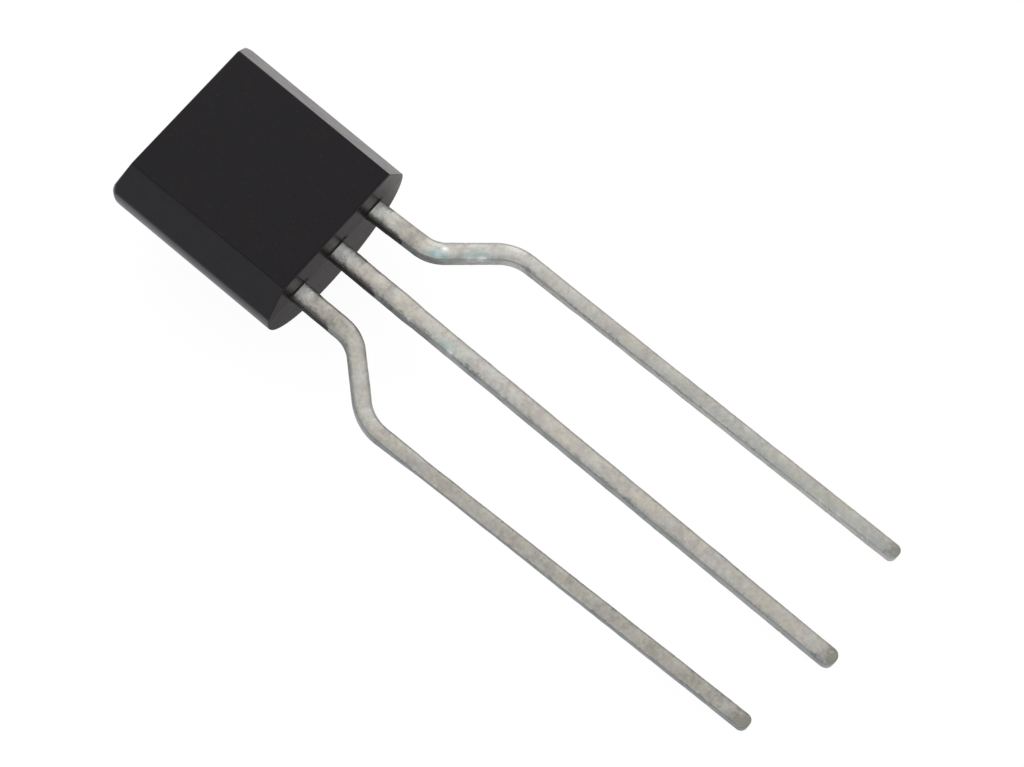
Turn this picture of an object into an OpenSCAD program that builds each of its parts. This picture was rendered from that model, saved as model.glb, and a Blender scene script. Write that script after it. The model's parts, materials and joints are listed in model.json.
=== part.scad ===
// TO-92 transistor with formed leads, in millimetres.
//
// Three leads are stamped from one sheet, the chip is bonded to the middle one,
// and the epoxy body is moulded round them. The outer leads are then formed out
// to the wider hole pitch.
//
// Everything is drawn upright first: the rounded back is struck from the Z axis,
// the leads lie in the XZ plane, the flat face looks towards -Y, and the body
// meets the leads at z = 0. The finished package is then laid on its rounded
// back, the way it comes to rest on a table, on the back of the body and the
// tips of the two outer leads.

/* [Moulded body] */
// Radius of the rounded back, struck from the lead plane
back_radius = 2.275; // [2.2:0.005:2.5]
// Depth of the body in front of the lead plane
face_depth = 1.19; // [1.1:0.01:1.35]
// Width of the flat face
face_width = 3.53; // [3.3:0.01:3.7]
// Height of the flat face
face_height = 4.36; // [4.2:0.01:5.2]
// How far in front of the lead plane the side faces run into the rounded back
shoulder_depth = 0.24; // [0.1:0.01:0.5]
// Radius that blends each side face into the rounded back
shoulder_radius = 0.25; // [0.1:0.01:0.4]
// Radius of the two creases beside the flat face
crease_radius = 0.08; // [0.02:0.01:0.15]
// Radius of the top and bottom edges of the flat face
face_edge_radius = 0.06; // [0.02:0.01:0.15]
// Radius of the top edge of the rounded back
back_top_radius = 0.22; // [0.05:0.01:0.35]

/* [Mould draft] */
// Slope of the top face in front of the lead plane, in degrees
top_front_draft = 11; // [1:0.5:14]
// Slope of the top face behind the lead plane, in degrees
top_back_draft = 4; // [1:0.5:8]
// Slope of the bottom face in front of the lead plane, in degrees
bottom_front_draft = 1.5; // [0.5:0.5:6]
// Slope of the bottom face behind the lead plane, in degrees
bottom_back_draft = 0.5; // [0.5:0.5:6]

/* [Ejector mark] */
// Diameter of the ejector pin mark on the rounded back
ejector_mark_diameter = 1.2; // [0.8:0.1:1.6]
// Depth of the pin mark below the crest of the rounded back
ejector_mark_depth = 0.1; // [0.04:0.01:0.15]
// Height of the pin mark's centre above the seating face
ejector_mark_height = 2.5; // [1.5:0.1:3]

/* [Mould flash] */
// Thickness of the resin flash left on the sides of the leads
flash_thickness = 0.025; // [0.015:0.005:0.05]
// How far the flash stands back from the front and back of the sheet
flash_setback = 0.02; // [0.01:0.005:0.05]
// Length of the flash on the outer side of the emitter lead
emitter_outer_flash = 1.05; // [0.2:0.05:1.1]
// Length of the flash on the inner side of the emitter lead
emitter_inner_flash = 0.6; // [0.2:0.05:1.1]
// Length of the flash on the emitter side of the collector lead
collector_left_flash = 1.3; // [0.2:0.05:1.5]
// Length of the flash on the base side of the collector lead
collector_right_flash = 0.85; // [0.2:0.05:1.5]
// Length of the flash on the inner side of the base lead
base_inner_flash = 0.95; // [0.2:0.05:1.1]
// Length of the flash on the outer side of the base lead
base_outer_flash = 0.5; // [0.2:0.05:1.1]

/* [Lead sheet] */
// Thickness of the sheet that the leads are stamped from
sheet_thickness = 0.39; // [0.36:0.01:0.51]
// Width of the leads where they leave the body
root_width = 0.44; // [0.4:0.01:0.5]
// Width of the outer leads between their two bends
jog_width = 0.4; // [0.36:0.01:0.46]
// Width of the outer leads below the lower bend
leg_width = 0.35; // [0.34:0.01:0.44]
// Width of the collector lead below its root
collector_leg_width = 0.41; // [0.36:0.01:0.46]
// Distance from the seating face to the narrower part of the collector lead
collector_root_length = 2.1; // [1.6:0.1:3]
// Length over which the collector lead narrows
collector_taper = 0.3; // [0.1:0.1:1]
// Radius of the corners of a cut lead tip
tip_radius = 0.12; // [0.04:0.01:0.15]
// Pitch of the leads where they leave the body
lead_pitch = 1.27; // [1.22:0.01:1.32]

/* [Lead forming] */
// Pitch of the leads at the lower bend
formed_pitch = 2.58; // [2.3:0.01:2.8]
// Drop from the seating face to the corner of the upper bend
upper_bend_drop = 1.63; // [1.5:0.01:2]
// Drop from the upper bend's corner to the lower bend's corner
jog_drop = 1.39; // [1.3:0.01:2]
// Centreline radius of the upper bends
upper_bend_radius = 0.9; // [0.5:0.05:1]
// Centreline radius of the lower bends
lower_bend_radius = 1.15; // [0.6:0.05:1.2]
// Outward lean of the emitter lead above the jog, in degrees
emitter_root_lean = 0; // [-2:0.1:3]
// Outward lean of the emitter lead below the jog, in degrees
emitter_leg_lean = -1.7; // [-3:0.1:3]
// Outward lean of the base lead above the jog, in degrees
base_root_lean = 2.7; // [-2:0.1:3]
// Outward lean of the base lead below the jog, in degrees
base_leg_lean = 1.1; // [-3:0.1:3]
// Lean of the emitter lead towards the rounded back, in degrees
emitter_rear_lean = 0.45; // [0:0.05:1.5]
// Lean of the base lead towards the rounded back, in degrees
base_rear_lean = 0.35; // [0:0.05:1.5]

/* [Cut length] */
// Length of the emitter lead below the body, along the metal
emitter_cut_length = 14; // [12.7:0.05:15]
// Length of the collector lead below the body
collector_cut_length = 14.12; // [13.9:0.01:15]
// Length of the base lead below the body, along the metal
base_cut_length = 14.13; // [12.7:0.01:14.3]

/* [Lead frame inside the body] */
// Width of the die paddle
paddle_width = 1.5; // [1.3:0.05:1.55]
// Height of the die paddle
paddle_height = 1.9; // [1.5:0.05:2.1]
// Width of the bonding posts
post_width = 0.8; // [0.6:0.05:0.85]
// Height of the bonding posts
post_height = 0.9; // [0.6:0.05:1.3]
// Offset of the bonding posts outwards from their leads
post_offset = 0.07; // [0.05:0.01:0.2]
// Height of the top of paddle and posts above the seating face
frame_top = 3.4; // [3.1:0.05:3.8]
// Corner radius of the paddle and the posts
frame_corner_radius = 0.12; // [0.05:0.01:0.2]
// Radius of the notches that lock the leads in the resin
lock_notch_radius = 0.07; // [0.04:0.01:0.1]
// Height of the lock notches above the seating face
lock_notch_height = 0.6; // [0.4:0.05:1.2]

/* [Chip and wires] */
// Width and height of the square chip
die_size = 0.55; // [0.35:0.05:0.8]
// Thickness of the chip
die_thickness = 0.2; // [0.12:0.01:0.3]
// Thickness of the die attach
attach_thickness = 0.03; // [0.02:0.01:0.05]
// How far the die attach spreads beyond the chip
attach_margin = 0.05; // [0.02:0.01:0.1]
// Diameter of the bond wires
wire_diameter = 0.05; // [0.03:0.01:0.06]
// Diameter of the bonds at the ends of the wires
bond_diameter = 0.12; // [0.1:0.01:0.15]
// Height of the bonds
bond_height = 0.06; // [0.06:0.005:0.08]
// Rise of a wire loop above the straight line between its bonds
loop_rise = 0.3; // [0.2:0.01:0.4]
// Distance of each chip bond from the middle of the chip
bond_offset = 0.13; // [0.08:0.01:0.17]

/* [Hidden] */
$fn = 48;

corner_steps = 8;
resin_black = "#2b2a2d";
tin_grey = "#b9b5ab";
solder_grey = "#8d8f92";
silicon_grey = "#5a6070";
gold = "#d8b04a";

// Each outer lead's side of the package
emitter_side = -1;
base_side = 1;

// Heights of the body's edges above the seating face, which is the lowest line
// of the body, where the two mould halves meet
face_bottom = face_depth * tan(bottom_front_draft);
face_top = face_bottom + face_height;
body_top = face_top + face_depth * tan(top_front_draft);
back_bottom = back_radius * tan(bottom_back_draft);
back_top = body_top - back_radius * tan(top_back_draft);

paddle_bottom = frame_top - paddle_height;
post_bottom = frame_top - post_height;
die_height = frame_top - paddle_width / 2;

// Fronts of the sheet, the die attach and the chip, one on the other
sheet_front = -sheet_thickness / 2;
attach_front = sheet_front - attach_thickness;
die_front = attach_front - die_thickness;

// ---------------------------------------------------------------- outlines

function unit(v) = v / norm(v);
function heading(v) = atan2(v.y, v.x);
function turn(u, v) = atan2(cross(u, v), u * v);
function right_of(u) = [u.y, -u.x];

// Points of the arc that rounds the corner at p, between its neighbours a and b
function corner_arc(a, p, b, r) =
    let (u = unit(p - a), v = unit(b - p), t = turn(u, v), s = sign(t))
    r == 0 || abs(t) < 0.01 ? [p] :
    let (
        centre = p - r * tan(abs(t) / 2) * u - s * r * right_of(u),
        start = heading(u) - s * 90
    )
    [for (i = [0:corner_steps])
        let (angle = start + t * i / corner_steps)
        centre + r * [cos(angle), sin(angle)]];

// A closed outline with a radius at each of its corners
function rounded(points, radii) =
    let (n = len(points))
    [for (i = [0:n - 1])
        each corner_arc(points[(i + n - 1) % n], points[i], points[(i + 1) % n], radii[i])];

// Where the line through a along u meets the line through b along v
function meet(a, u, b, v) =
    abs(cross(u, v)) < 1e-6 ? b : a + u * cross(b - a, v) / cross(u, v);

// Edge corner of a strip at point i of its centreline; side is 1 on the right
// of the way it runs and -1 on the left
function strip_corner(path, widths, i, side) =
    let (
        last = len(path) - 1,
        into = max(i, 1) - 1,
        out = min(i, last - 1),
        u = unit(path[into + 1] - path[into]),
        v = unit(path[out + 1] - path[out])
    )
    meet(
        path[i] + side * widths[into] / 2 * right_of(u), u,
        path[i] + side * widths[out] / 2 * right_of(v), v
    );

// Radius of that edge corner, on the outside or the inside of the bend
function strip_radius(path, widths, bends, i, side) =
    let (
        last = len(path) - 1,
        t = i == 0 || i == last ? 0 : turn(path[i] - path[i - 1], path[i + 1] - path[i])
    )
    bends[i] == 0 ? 0 :
    t == 0 ? bends[i] :
    bends[i] + side * sign(t) * widths[i] / 2;

// Outline of a strip that follows a centreline, with a width for each stretch
// and a centreline radius for each bend; the end corners take their radius as is
function strip(path, widths, bends) =
    let (last = len(path) - 1)
    rounded(
        [
            for (i = [0:last]) strip_corner(path, widths, i, 1),
            for (i = [last:-1:0]) strip_corner(path, widths, i, -1)
        ],
        [
            for (i = [0:last]) strip_radius(path, widths, bends, i, 1),
            for (i = [last:-1:0]) strip_radius(path, widths, bends, i, -1)
        ]
    );

// What a bend shortens a path by, compared with its sharp corner
function bend_saving(t, r) = 2 * r * tan(abs(t) / 2) - r * abs(t) * PI / 180;

// ------------------------------------------------------------------- paths

// Way down a lead that leans outwards by a given angle
function down(side, lean) = [side * sin(lean), -cos(lean)];

// Centreline of an outer lead: bonding post, seating face, upper bend, lower
// bend, tip. The tip follows from the length that the lead was cut to.
function outer_path(side, root_lean, leg_lean, cut_length) =
    let (
        seat = [side * lead_pitch, 0],
        upper = seat + down(side, root_lean) * upper_bend_drop / cos(root_lean),
        lower = [side * formed_pitch, upper.y - jog_drop],
        slant = lower - upper,
        leg = down(side, leg_lean),
        saving = bend_saving(turn(down(side, root_lean), slant), upper_bend_radius)
            + bend_saving(turn(slant, leg), lower_bend_radius),
        leg_length = cut_length - norm(upper - seat) - norm(slant) + saving
    )
    [seat + [0, post_bottom + post_height / 2], seat, upper, lower, lower + leg * leg_length];

function outer_outline(path) = strip(
    path,
    [root_width, root_width, jog_width, leg_width],
    [0, 0, upper_bend_radius, lower_bend_radius, tip_radius]
);

emitter_path = outer_path(emitter_side, emitter_root_lean, emitter_leg_lean, emitter_cut_length);
base_path = outer_path(base_side, base_root_lean, base_leg_lean, base_cut_length);
collector_path = [
    [0, paddle_bottom + paddle_height / 2],
    [0, 0],
    [0, -collector_root_length],
    [0, -collector_root_length - collector_taper],
    [0, -collector_cut_length]
];

emitter_outline = outer_outline(emitter_path);
base_outline = outer_outline(base_path);
collector_outline = strip(
    collector_path,
    [root_width, root_width, root_width, collector_leg_width],
    [0, 0, 0, 0, tip_radius]
);

// -------------------------------------------------------------------- body

// Slant of the side faces, from the flat face's edge to the shoulder
shoulder = [sqrt(pow(back_radius, 2) - pow(shoulder_depth, 2)), -shoulder_depth];
face_corner = [face_width / 2, -face_depth];
side_way = unit(shoulder - face_corner);
side_slant = 90 - heading(side_way);

// Centre of the shoulder radius: inside the side face and inside the back
blend_reach = face_corner * right_of(side_way) - shoulder_radius;
blend_centre = blend_reach * right_of(side_way)
    + sqrt(pow(back_radius - shoulder_radius, 2) - pow(blend_reach, 2)) * side_way;

// Half of the plan outline in front of the back, from the middle of the flat
// face round to a corner well outside the back
half_front = [
    each corner_arc([0, -face_depth], face_corner, shoulder, crease_radius),
    for (i = [0:corner_steps])
        let (angle = -side_slant + (heading(blend_centre) + side_slant) * i / corner_steps)
        blend_centre + shoulder_radius * [cos(angle), sin(angle)],
    unit(blend_centre) * back_radius * 2,
    [back_radius * 2, back_radius * 2]
];

module front_plan() {
    polygon([
        each half_front,
        for (i = [len(half_front) - 1:-1:0]) [-half_front[i].x, half_front[i].y]
    ]);
}

// Side view of the moulding, in y and z, with its drafted top and bottom
side_profile = rounded(
    [
        [-face_depth, face_bottom],
        [0, 0],
        [back_radius, back_bottom],
        [back_radius, back_top],
        [0, body_top],
        [-face_depth, face_top]
    ],
    [face_edge_radius, 0, 0, 0, 0, face_edge_radius]
);

// The round of the back, with its top edge rounded off
module back_round() {
    rotate_extrude($fn = 96)
        union() {
            square([back_radius, body_top - back_top_radius]);
            square([back_radius - back_top_radius, body_top]);
            translate([back_radius - back_top_radius, body_top - back_top_radius])
                circle(back_top_radius);
        }
}

module moulding() {
    intersection() {
        back_round();
        linear_extrude(body_top) front_plan();
        rotate([90, 0, 90])
            linear_extrude(back_radius * 3, center = true)
                polygon(side_profile);
    }
}

module ejector_mark() {
    translate([0, back_radius - ejector_mark_depth, ejector_mark_height])
        rotate([-90, 0, 0])
            cylinder(d = ejector_mark_diameter, h = back_radius);
}

// Resin flash on one side of a lead's straight root
module side_flash(path, side, flash_length) {
    way = unit(path[2] - path[1]);
    edge = side * right_of(way);
    root = path[1] + edge * root_width / 2;
    inside = -way * flash_thickness * 4;
    stamped(sheet_thickness - 2 * flash_setback)
        polygon([
            root + inside - edge * flash_thickness,
            root + inside + edge * flash_thickness,
            root + way * flash_length + edge * flash_thickness,
            root + way * (flash_length + flash_thickness),
            root + way * (flash_length + flash_thickness) - edge * flash_thickness
        ]);
}

// The way down a lead runs -Z, so its right side is the package's left
module flash() {
    side_flash(emitter_path, 1, emitter_outer_flash);
    side_flash(emitter_path, -1, emitter_inner_flash);
    side_flash(collector_path, 1, collector_left_flash);
    side_flash(collector_path, -1, collector_right_flash);
    side_flash(base_path, 1, base_inner_flash);
    side_flash(base_path, -1, base_outer_flash);
}

module epoxy_shape() {
    difference() {
        union() {
            moulding();
            flash();
        }
        ejector_mark();
        emitter_shape();
        collector_shape();
        base_shape();
        attach_shape();
        die_shape();
        wire_shape(emitter_side);
        wire_shape(base_side);
    }
}

// ------------------------------------------------------------------- leads

// Gives an outline drawn in x and z the thickness of a sheet in the lead plane
module stamped(thickness) {
    rotate([90, 0, 0])
        linear_extrude(thickness, center = true)
            children();
}

module plate(left, right, bottom, top) {
    polygon(rounded(
        [[left, bottom], [right, bottom], [right, top], [left, top]],
        [for (i = [1:4]) frame_corner_radius]
    ));
}

module lock_notches(x) {
    for (side = [-1, 1])
        translate([x + side * root_width / 2, lock_notch_height])
            circle(lock_notch_radius);
}

// How far an outline reaches below the seating face
function drop_of(outline) = -min([for (p = outline) p.y]);

// Side view of an outer lead's sheet, in y and z: straight inside the body, and
// leaning towards the rounded back below the seating face
function leaning_side(top, reach, lean) =
    let (shift = reach * tan(lean))
    [
        [sheet_front, top],
        [sheet_front, 0],
        [sheet_front + shift, -reach],
        [-sheet_front + shift, -reach],
        [-sheet_front, 0],
        [-sheet_front, top]
    ];

// Gives an outline drawn in x and z the thickness of that leaning sheet
module leaning_sheet(top, reach, lean) {
    intersection() {
        stamped(2 * (sheet_thickness + reach * tan(lean)))
            children();
        rotate([90, 0, 90])
            linear_extrude(4 * formed_pitch, center = true)
                polygon(leaning_side(top, reach, lean));
    }
}

module outer_shape(side, outline, rear_lean) {
    post_middle = side * (lead_pitch + post_offset);
    margin = sheet_thickness;
    leaning_sheet(frame_top + margin, drop_of(outline) + margin, rear_lean)
        difference() {
            union() {
                polygon(outline);
                plate(
                    post_middle - post_width / 2, post_middle + post_width / 2,
                    post_bottom, frame_top
                );
            }
            lock_notches(side * lead_pitch);
        }
}

module emitter_shape() {
    outer_shape(emitter_side, emitter_outline, emitter_rear_lean);
}

module base_shape() {
    outer_shape(base_side, base_outline, base_rear_lean);
}

module collector_shape() {
    stamped(sheet_thickness)
        difference() {
            union() {
                polygon(collector_outline);
                plate(-paddle_width / 2, paddle_width / 2, paddle_bottom, frame_top);
            }
            lock_notches(0);
        }
}

// ---------------------------------------------------------- chip and wires

// A square block lying on the paddle, from its back to its front
module block(size, back, front) {
    translate([-size / 2, front, die_height - size / 2])
        cube([size, back - front, size]);
}

module attach_shape() {
    block(die_size + 2 * attach_margin, sheet_front, attach_front);
}

module die_shape() {
    block(die_size, attach_front, die_front);
}

module bond(x, surface, height) {
    translate([x, surface, height])
        rotate([90, 0, 0])
            cylinder(d = bond_diameter, h = bond_height);
}

// A wire from the chip to the post on one side, looped in a plane square to the
// lead axis. The wires leave the chip one above the other.
module wire_shape(side) {
    height = die_height + side * bond_offset;
    post_x = side * (lead_pitch + post_offset);
    chip_end = [side * bond_offset, die_front - bond_height / 2];
    post_end = [post_x, sheet_front - bond_height / 2];
    chord = post_end - chip_end;
    half_chord = norm(chord) / 2;
    radius = (pow(half_chord, 2) + pow(loop_rise, 2)) / (2 * loop_rise);
    half_sweep = asin(half_chord / radius);
    toward_back = unit([-chord.y, chord.x] * side);
    centre = (chip_end + post_end) / 2 + toward_back * (radius - loop_rise);
    bond(chip_end.x, die_front, height);
    bond(post_end.x, sheet_front, height);
    translate([centre.x, centre.y, height])
        rotate([0, 0, heading(-toward_back) - half_sweep])
            rotate_extrude(angle = 2 * half_sweep)
                translate([radius, 0])
                    circle(d = wire_diameter, $fn = 24);
}

// ---------------------------------------------------------- the resting pose

// The lower edge of the rounded back and the back of the lead tip that hangs
// lowest touch the table. The points are given in y and z.
function tip_back(drop, lean) = [sheet_thickness / 2 + drop * tan(lean), -drop];
rest_edge = [back_radius, back_bottom];
rest_tips = [
    tip_back(drop_of(emitter_outline), emitter_rear_lean),
    tip_back(collector_cut_length, 0),
    tip_back(drop_of(base_outline), base_rear_lean)
];
rest_tilt = min([
    for (tip = rest_tips) atan2(rest_edge.x - tip.x, rest_edge.y - tip.y)
]);

// Places in the side view after the package is laid down, along and above the table
function laid(p) = [
    p.x * sin(rest_tilt) + p.y * cos(rest_tilt),
    p.y * sin(rest_tilt) - p.x * cos(rest_tilt)
];
along = [
    for (p = side_profile) laid(p).x,
    laid([-sheet_thickness / 2, -collector_cut_length]).x
];
across = [for (p = [each emitter_outline, each base_outline]) p.x];
table_height = laid(rest_edge).y;

// Lays an upright shape on its back, with the origin under the middle of the
// whole package, on the table
module lay_down() {
    translate([
        -(min(across) + max(across)) / 2,
        -(min(along) + max(along)) / 2,
        -table_height
    ])
        rotate([rest_tilt - 90, 0, 0])
            children();
}

// ------------------------------------------------------------------- pieces

module epoxy_body() {
    color(resin_black) lay_down() epoxy_shape();
}

module emitter_lead() {
    color(tin_grey) lay_down() emitter_shape();
}

module collector_lead() {
    color(tin_grey) lay_down() collector_shape();
}

module base_lead() {
    color(tin_grey) lay_down() base_shape();
}

module die_attach() {
    color(solder_grey) lay_down() attach_shape();
}

module silicon_die() {
    color(silicon_grey) lay_down() die_shape();
}

module emitter_bond_wire() {
    color(gold) lay_down() wire_shape(emitter_side);
}

module base_bond_wire() {
    color(gold) lay_down() wire_shape(base_side);
}

epoxy_body();
emitter_lead();
collector_lead();
base_lead();
die_attach();
silicon_die();
emitter_bond_wire();
base_bond_wire();
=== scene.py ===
"""A small three-legged transistor, lying on its rounded back on a pale table.

Every shape is first made upright, in millimetres, in the package's own frame:
X runs across the leads from the emitter side to the base side, Y runs from the
flat face to the rounded back, and Z runs up the leads with the seating face at
nought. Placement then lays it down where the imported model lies.
"""

import json
import logging
import math
from dataclasses import dataclass, field
from enum import Enum
from typing import Any, Callable, Iterable, Sequence

import bmesh
import bpy
from mathutils import Matrix, Vector, noise


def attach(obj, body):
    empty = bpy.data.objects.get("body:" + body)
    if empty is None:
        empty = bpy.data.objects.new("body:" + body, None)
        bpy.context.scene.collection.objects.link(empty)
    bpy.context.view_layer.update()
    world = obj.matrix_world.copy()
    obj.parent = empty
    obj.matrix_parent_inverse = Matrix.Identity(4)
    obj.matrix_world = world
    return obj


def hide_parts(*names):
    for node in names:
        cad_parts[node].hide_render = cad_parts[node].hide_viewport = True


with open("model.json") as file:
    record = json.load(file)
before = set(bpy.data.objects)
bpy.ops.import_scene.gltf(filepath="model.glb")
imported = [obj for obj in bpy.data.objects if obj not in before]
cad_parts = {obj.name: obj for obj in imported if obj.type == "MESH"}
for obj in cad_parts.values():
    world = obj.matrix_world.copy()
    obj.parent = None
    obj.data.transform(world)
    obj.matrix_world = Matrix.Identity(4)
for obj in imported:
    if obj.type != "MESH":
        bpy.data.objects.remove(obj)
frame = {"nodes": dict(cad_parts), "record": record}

MM = 0.001
ROOT = "root"

# Points closer than this, in mm, are merged.
MERGE = 1e-5
# Slack, in mm, of a point that should lie on a plane.
ON_PLANE = 1e-6

WHITE = (1.0, 1.0, 1.0, 1.0)
FLAT_WAY = Vector((0.0, -1.0, 0.0))
UP = Vector((0.0, 0.0, 1.0))
DOWN = Vector((0.0, 0.0, -1.0))

Colour = tuple[float, float, float]
Place = tuple[float, float, float]
Span = tuple[float, float]
Spot = tuple[float, float, float]
Glint = tuple[float, float, float, float]
Socket = bpy.types.NodeSocket

log = logging.getLogger("transistor")


class Side(Enum):
    """The two outer sides of the package."""

    EMITTER = -1
    BASE = 1


class Skin(Enum):
    """The finishes of the body, by the material number of its faces."""

    SIDES = 0
    END = 1
    FACE = 2


class Mask(Enum):
    """Numbers that a lead's mesh carries for its finish and for the light and shade painted on it.
    """

    STAMPED = "stamped"
    HAND = "hand"
    FRONT = "front"
    ROLLED_SHADE = "rolled"
    RUBBED = "rubbed"
    REACH = "reach"
    DULL_AND_PAINTED_LIGHT = "dull"
    TEAL_SHEEN = "stain"
    GLINT = "glint"


class MixKind(Enum):
    """Type of a mix node, the numbers of its two inputs and of its output."""

    NUMBER = ("FLOAT", 2, 3, 0)
    COLOUR = ("RGBA", 6, 7, 2)


# ------------------------------------------------------------------ frame


@dataclass(frozen=True)
class Placement:
    """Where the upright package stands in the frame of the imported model."""

    matrix: Matrix

    @classmethod
    def from_mounts(cls, record: dict[str, Any], depth: float, middle: float) -> "Placement":
        """Works the place out from the two mounts of the record.

        Args:
            record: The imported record.
            depth: Distance from the lead plane to the flat face, in mm.
            middle: Height of the middle of the flat face, in mm.

        Returns:
            The placement, which also turns millimetres into metres.
        """
        mounts = {mount["name"]: mount for mount in record["mounts"]}
        back = -Vector(mounts["flat_face"]["axis"])
        rise = -Vector(mounts["lead_row"]["axis"])
        across = back.cross(rise)
        face = Vector(mounts["flat_face"]["pos_m"])
        origin = face + MM * (back * depth - rise * middle)
        turn = Matrix((across, back, rise)).transposed().to_4x4()
        return cls(Matrix.Translation(origin) @ turn @ Matrix.Scale(MM, 4))

    def point(self, place: Sequence[float]) -> Vector:
        """Returns a place of the package frame in metres."""
        return self.matrix @ Vector(place)

    def way(self, direction: Sequence[float]) -> Vector:
        """Returns a direction of the package frame as a unit vector."""
        return (self.matrix.to_3x3() @ Vector(direction)).normalized()


# ----------------------------------------------------------------- meshes


@dataclass(frozen=True)
class Round:
    """A rounded edge: its radius in mm and the number of steps across it."""

    radius: float
    steps: int


def near(value: float, target: float, slack: float = 0.004) -> bool:
    """Tells whether two lengths in mm agree."""
    return abs(value - target) < slack


def bell(distance: float, reach: float) -> float:
    """Returns 1 at no distance, falling smoothly towards 0 beyond the reach."""
    return math.exp(-((distance / reach) ** 2))


def edges_where(
    mesh: bmesh.types.BMesh, test: Callable[[bmesh.types.BMEdge], bool]
) -> list[bmesh.types.BMEdge]:
    """Returns the edges of a mesh that pass a test."""
    return [edge for edge in mesh.edges if test(edge)]


def cut_away(mesh: bmesh.types.BMesh, place: Sequence[float], outward: Sequence[float]) -> None:
    """Cuts a closed shape with a plane and closes the cut.

    Args:
        mesh: The shape.
        place: A point of the plane.
        outward: The side of the plane that is cut away.
    """
    cut = bmesh.ops.bisect_plane(
        mesh,
        geom=mesh.verts[:] + mesh.edges[:] + mesh.faces[:],
        dist=ON_PLANE,
        plane_co=place,
        plane_no=outward,
        clear_outer=True,
    )
    rim = [item for item in cut["geom_cut"] if isinstance(item, bmesh.types.BMEdge)]
    bmesh.ops.edgeloop_fill(mesh, edges=rim)


def round_off(
    mesh: bmesh.types.BMesh, centre: Vector, edge: Round, first: Vector, last: Vector
) -> None:
    """Rounds an outer edge with cuts that touch a cylinder along it.

    Args:
        mesh: The shape.
        centre: A point of the cylinder's axis.
        edge: Radius of the cylinder and number of cuts between the two faces.
        first: Outward normal of the face on one side of the edge.
        last: Outward normal of the face on the other side.
    """
    for number in range(1, edge.steps + 1):
        normal = first.slerp(last, number / (edge.steps + 1))
        cut_away(mesh, centre + normal * edge.radius, normal)


def edge_centre(corner: Vector, first: Vector, last: Vector, edge: Round) -> Vector:
    """Returns the centre of the round that touches two planes which meet at a corner."""
    return corner - (first + last) * edge.radius / (1.0 + first.dot(last))


def soften(
    mesh: bmesh.types.BMesh,
    items: Sequence[bmesh.types.BMEdge] | Sequence[bmesh.types.BMVert],
    edge: Round,
    affect: str = "EDGES",
) -> None:
    """Bevels edges or corners with an even round.

    Args:
        mesh: The shape.
        items: The edges, or the corners where affect is VERTICES.
        edge: Width of the round on each side and number of faces across it.
        affect: EDGES or VERTICES.
    """
    bmesh.ops.bevel(
        mesh,
        geom=items,
        offset=edge.radius,
        offset_type="OFFSET",
        segments=edge.steps,
        profile=0.5,
        affect=affect,
        material=-1,
    )


def settle_normals(mesh: bmesh.types.BMesh) -> None:
    """Merges doubles, turns all faces outward and makes them smooth.

    Args:
        mesh: The shape.
    """
    bmesh.ops.remove_doubles(mesh, verts=mesh.verts[:], dist=MERGE)
    bmesh.ops.recalc_face_normals(mesh, faces=mesh.faces[:])
    for face in mesh.faces:
        face.smooth = True


def as_piece(
    name: str, mesh: bmesh.types.BMesh, materials: Iterable[bpy.types.Material]
) -> bpy.types.Object:
    """Makes a scene object of a mesh whose places are already in the frame.

    Args:
        name: Name of the piece.
        mesh: The mesh, which is freed.
        materials: The materials, in the order of the faces' material numbers.

    Returns:
        The object, at the origin.
    """
    data = bpy.data.meshes.new(name)
    mesh.to_mesh(data)
    mesh.free()
    for material in materials:
        data.materials.append(material)
    piece = bpy.data.objects.new(name, data)
    bpy.context.scene.collection.objects.link(piece)
    return piece


def even_normals(piece: bpy.types.Object, weight: int = 60) -> None:
    """Keeps wide faces flat between their small rounded edges.

    Args:
        piece: The piece.
        weight: How much more a wide face counts than a narrow one.
    """
    weighted = piece.modifiers.new("even normals", "WEIGHTED_NORMAL")
    weighted.mode = "FACE_AREA"
    weighted.weight = weight
    weighted.keep_sharp = True


# -------------------------------------------------------------- node trees


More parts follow.
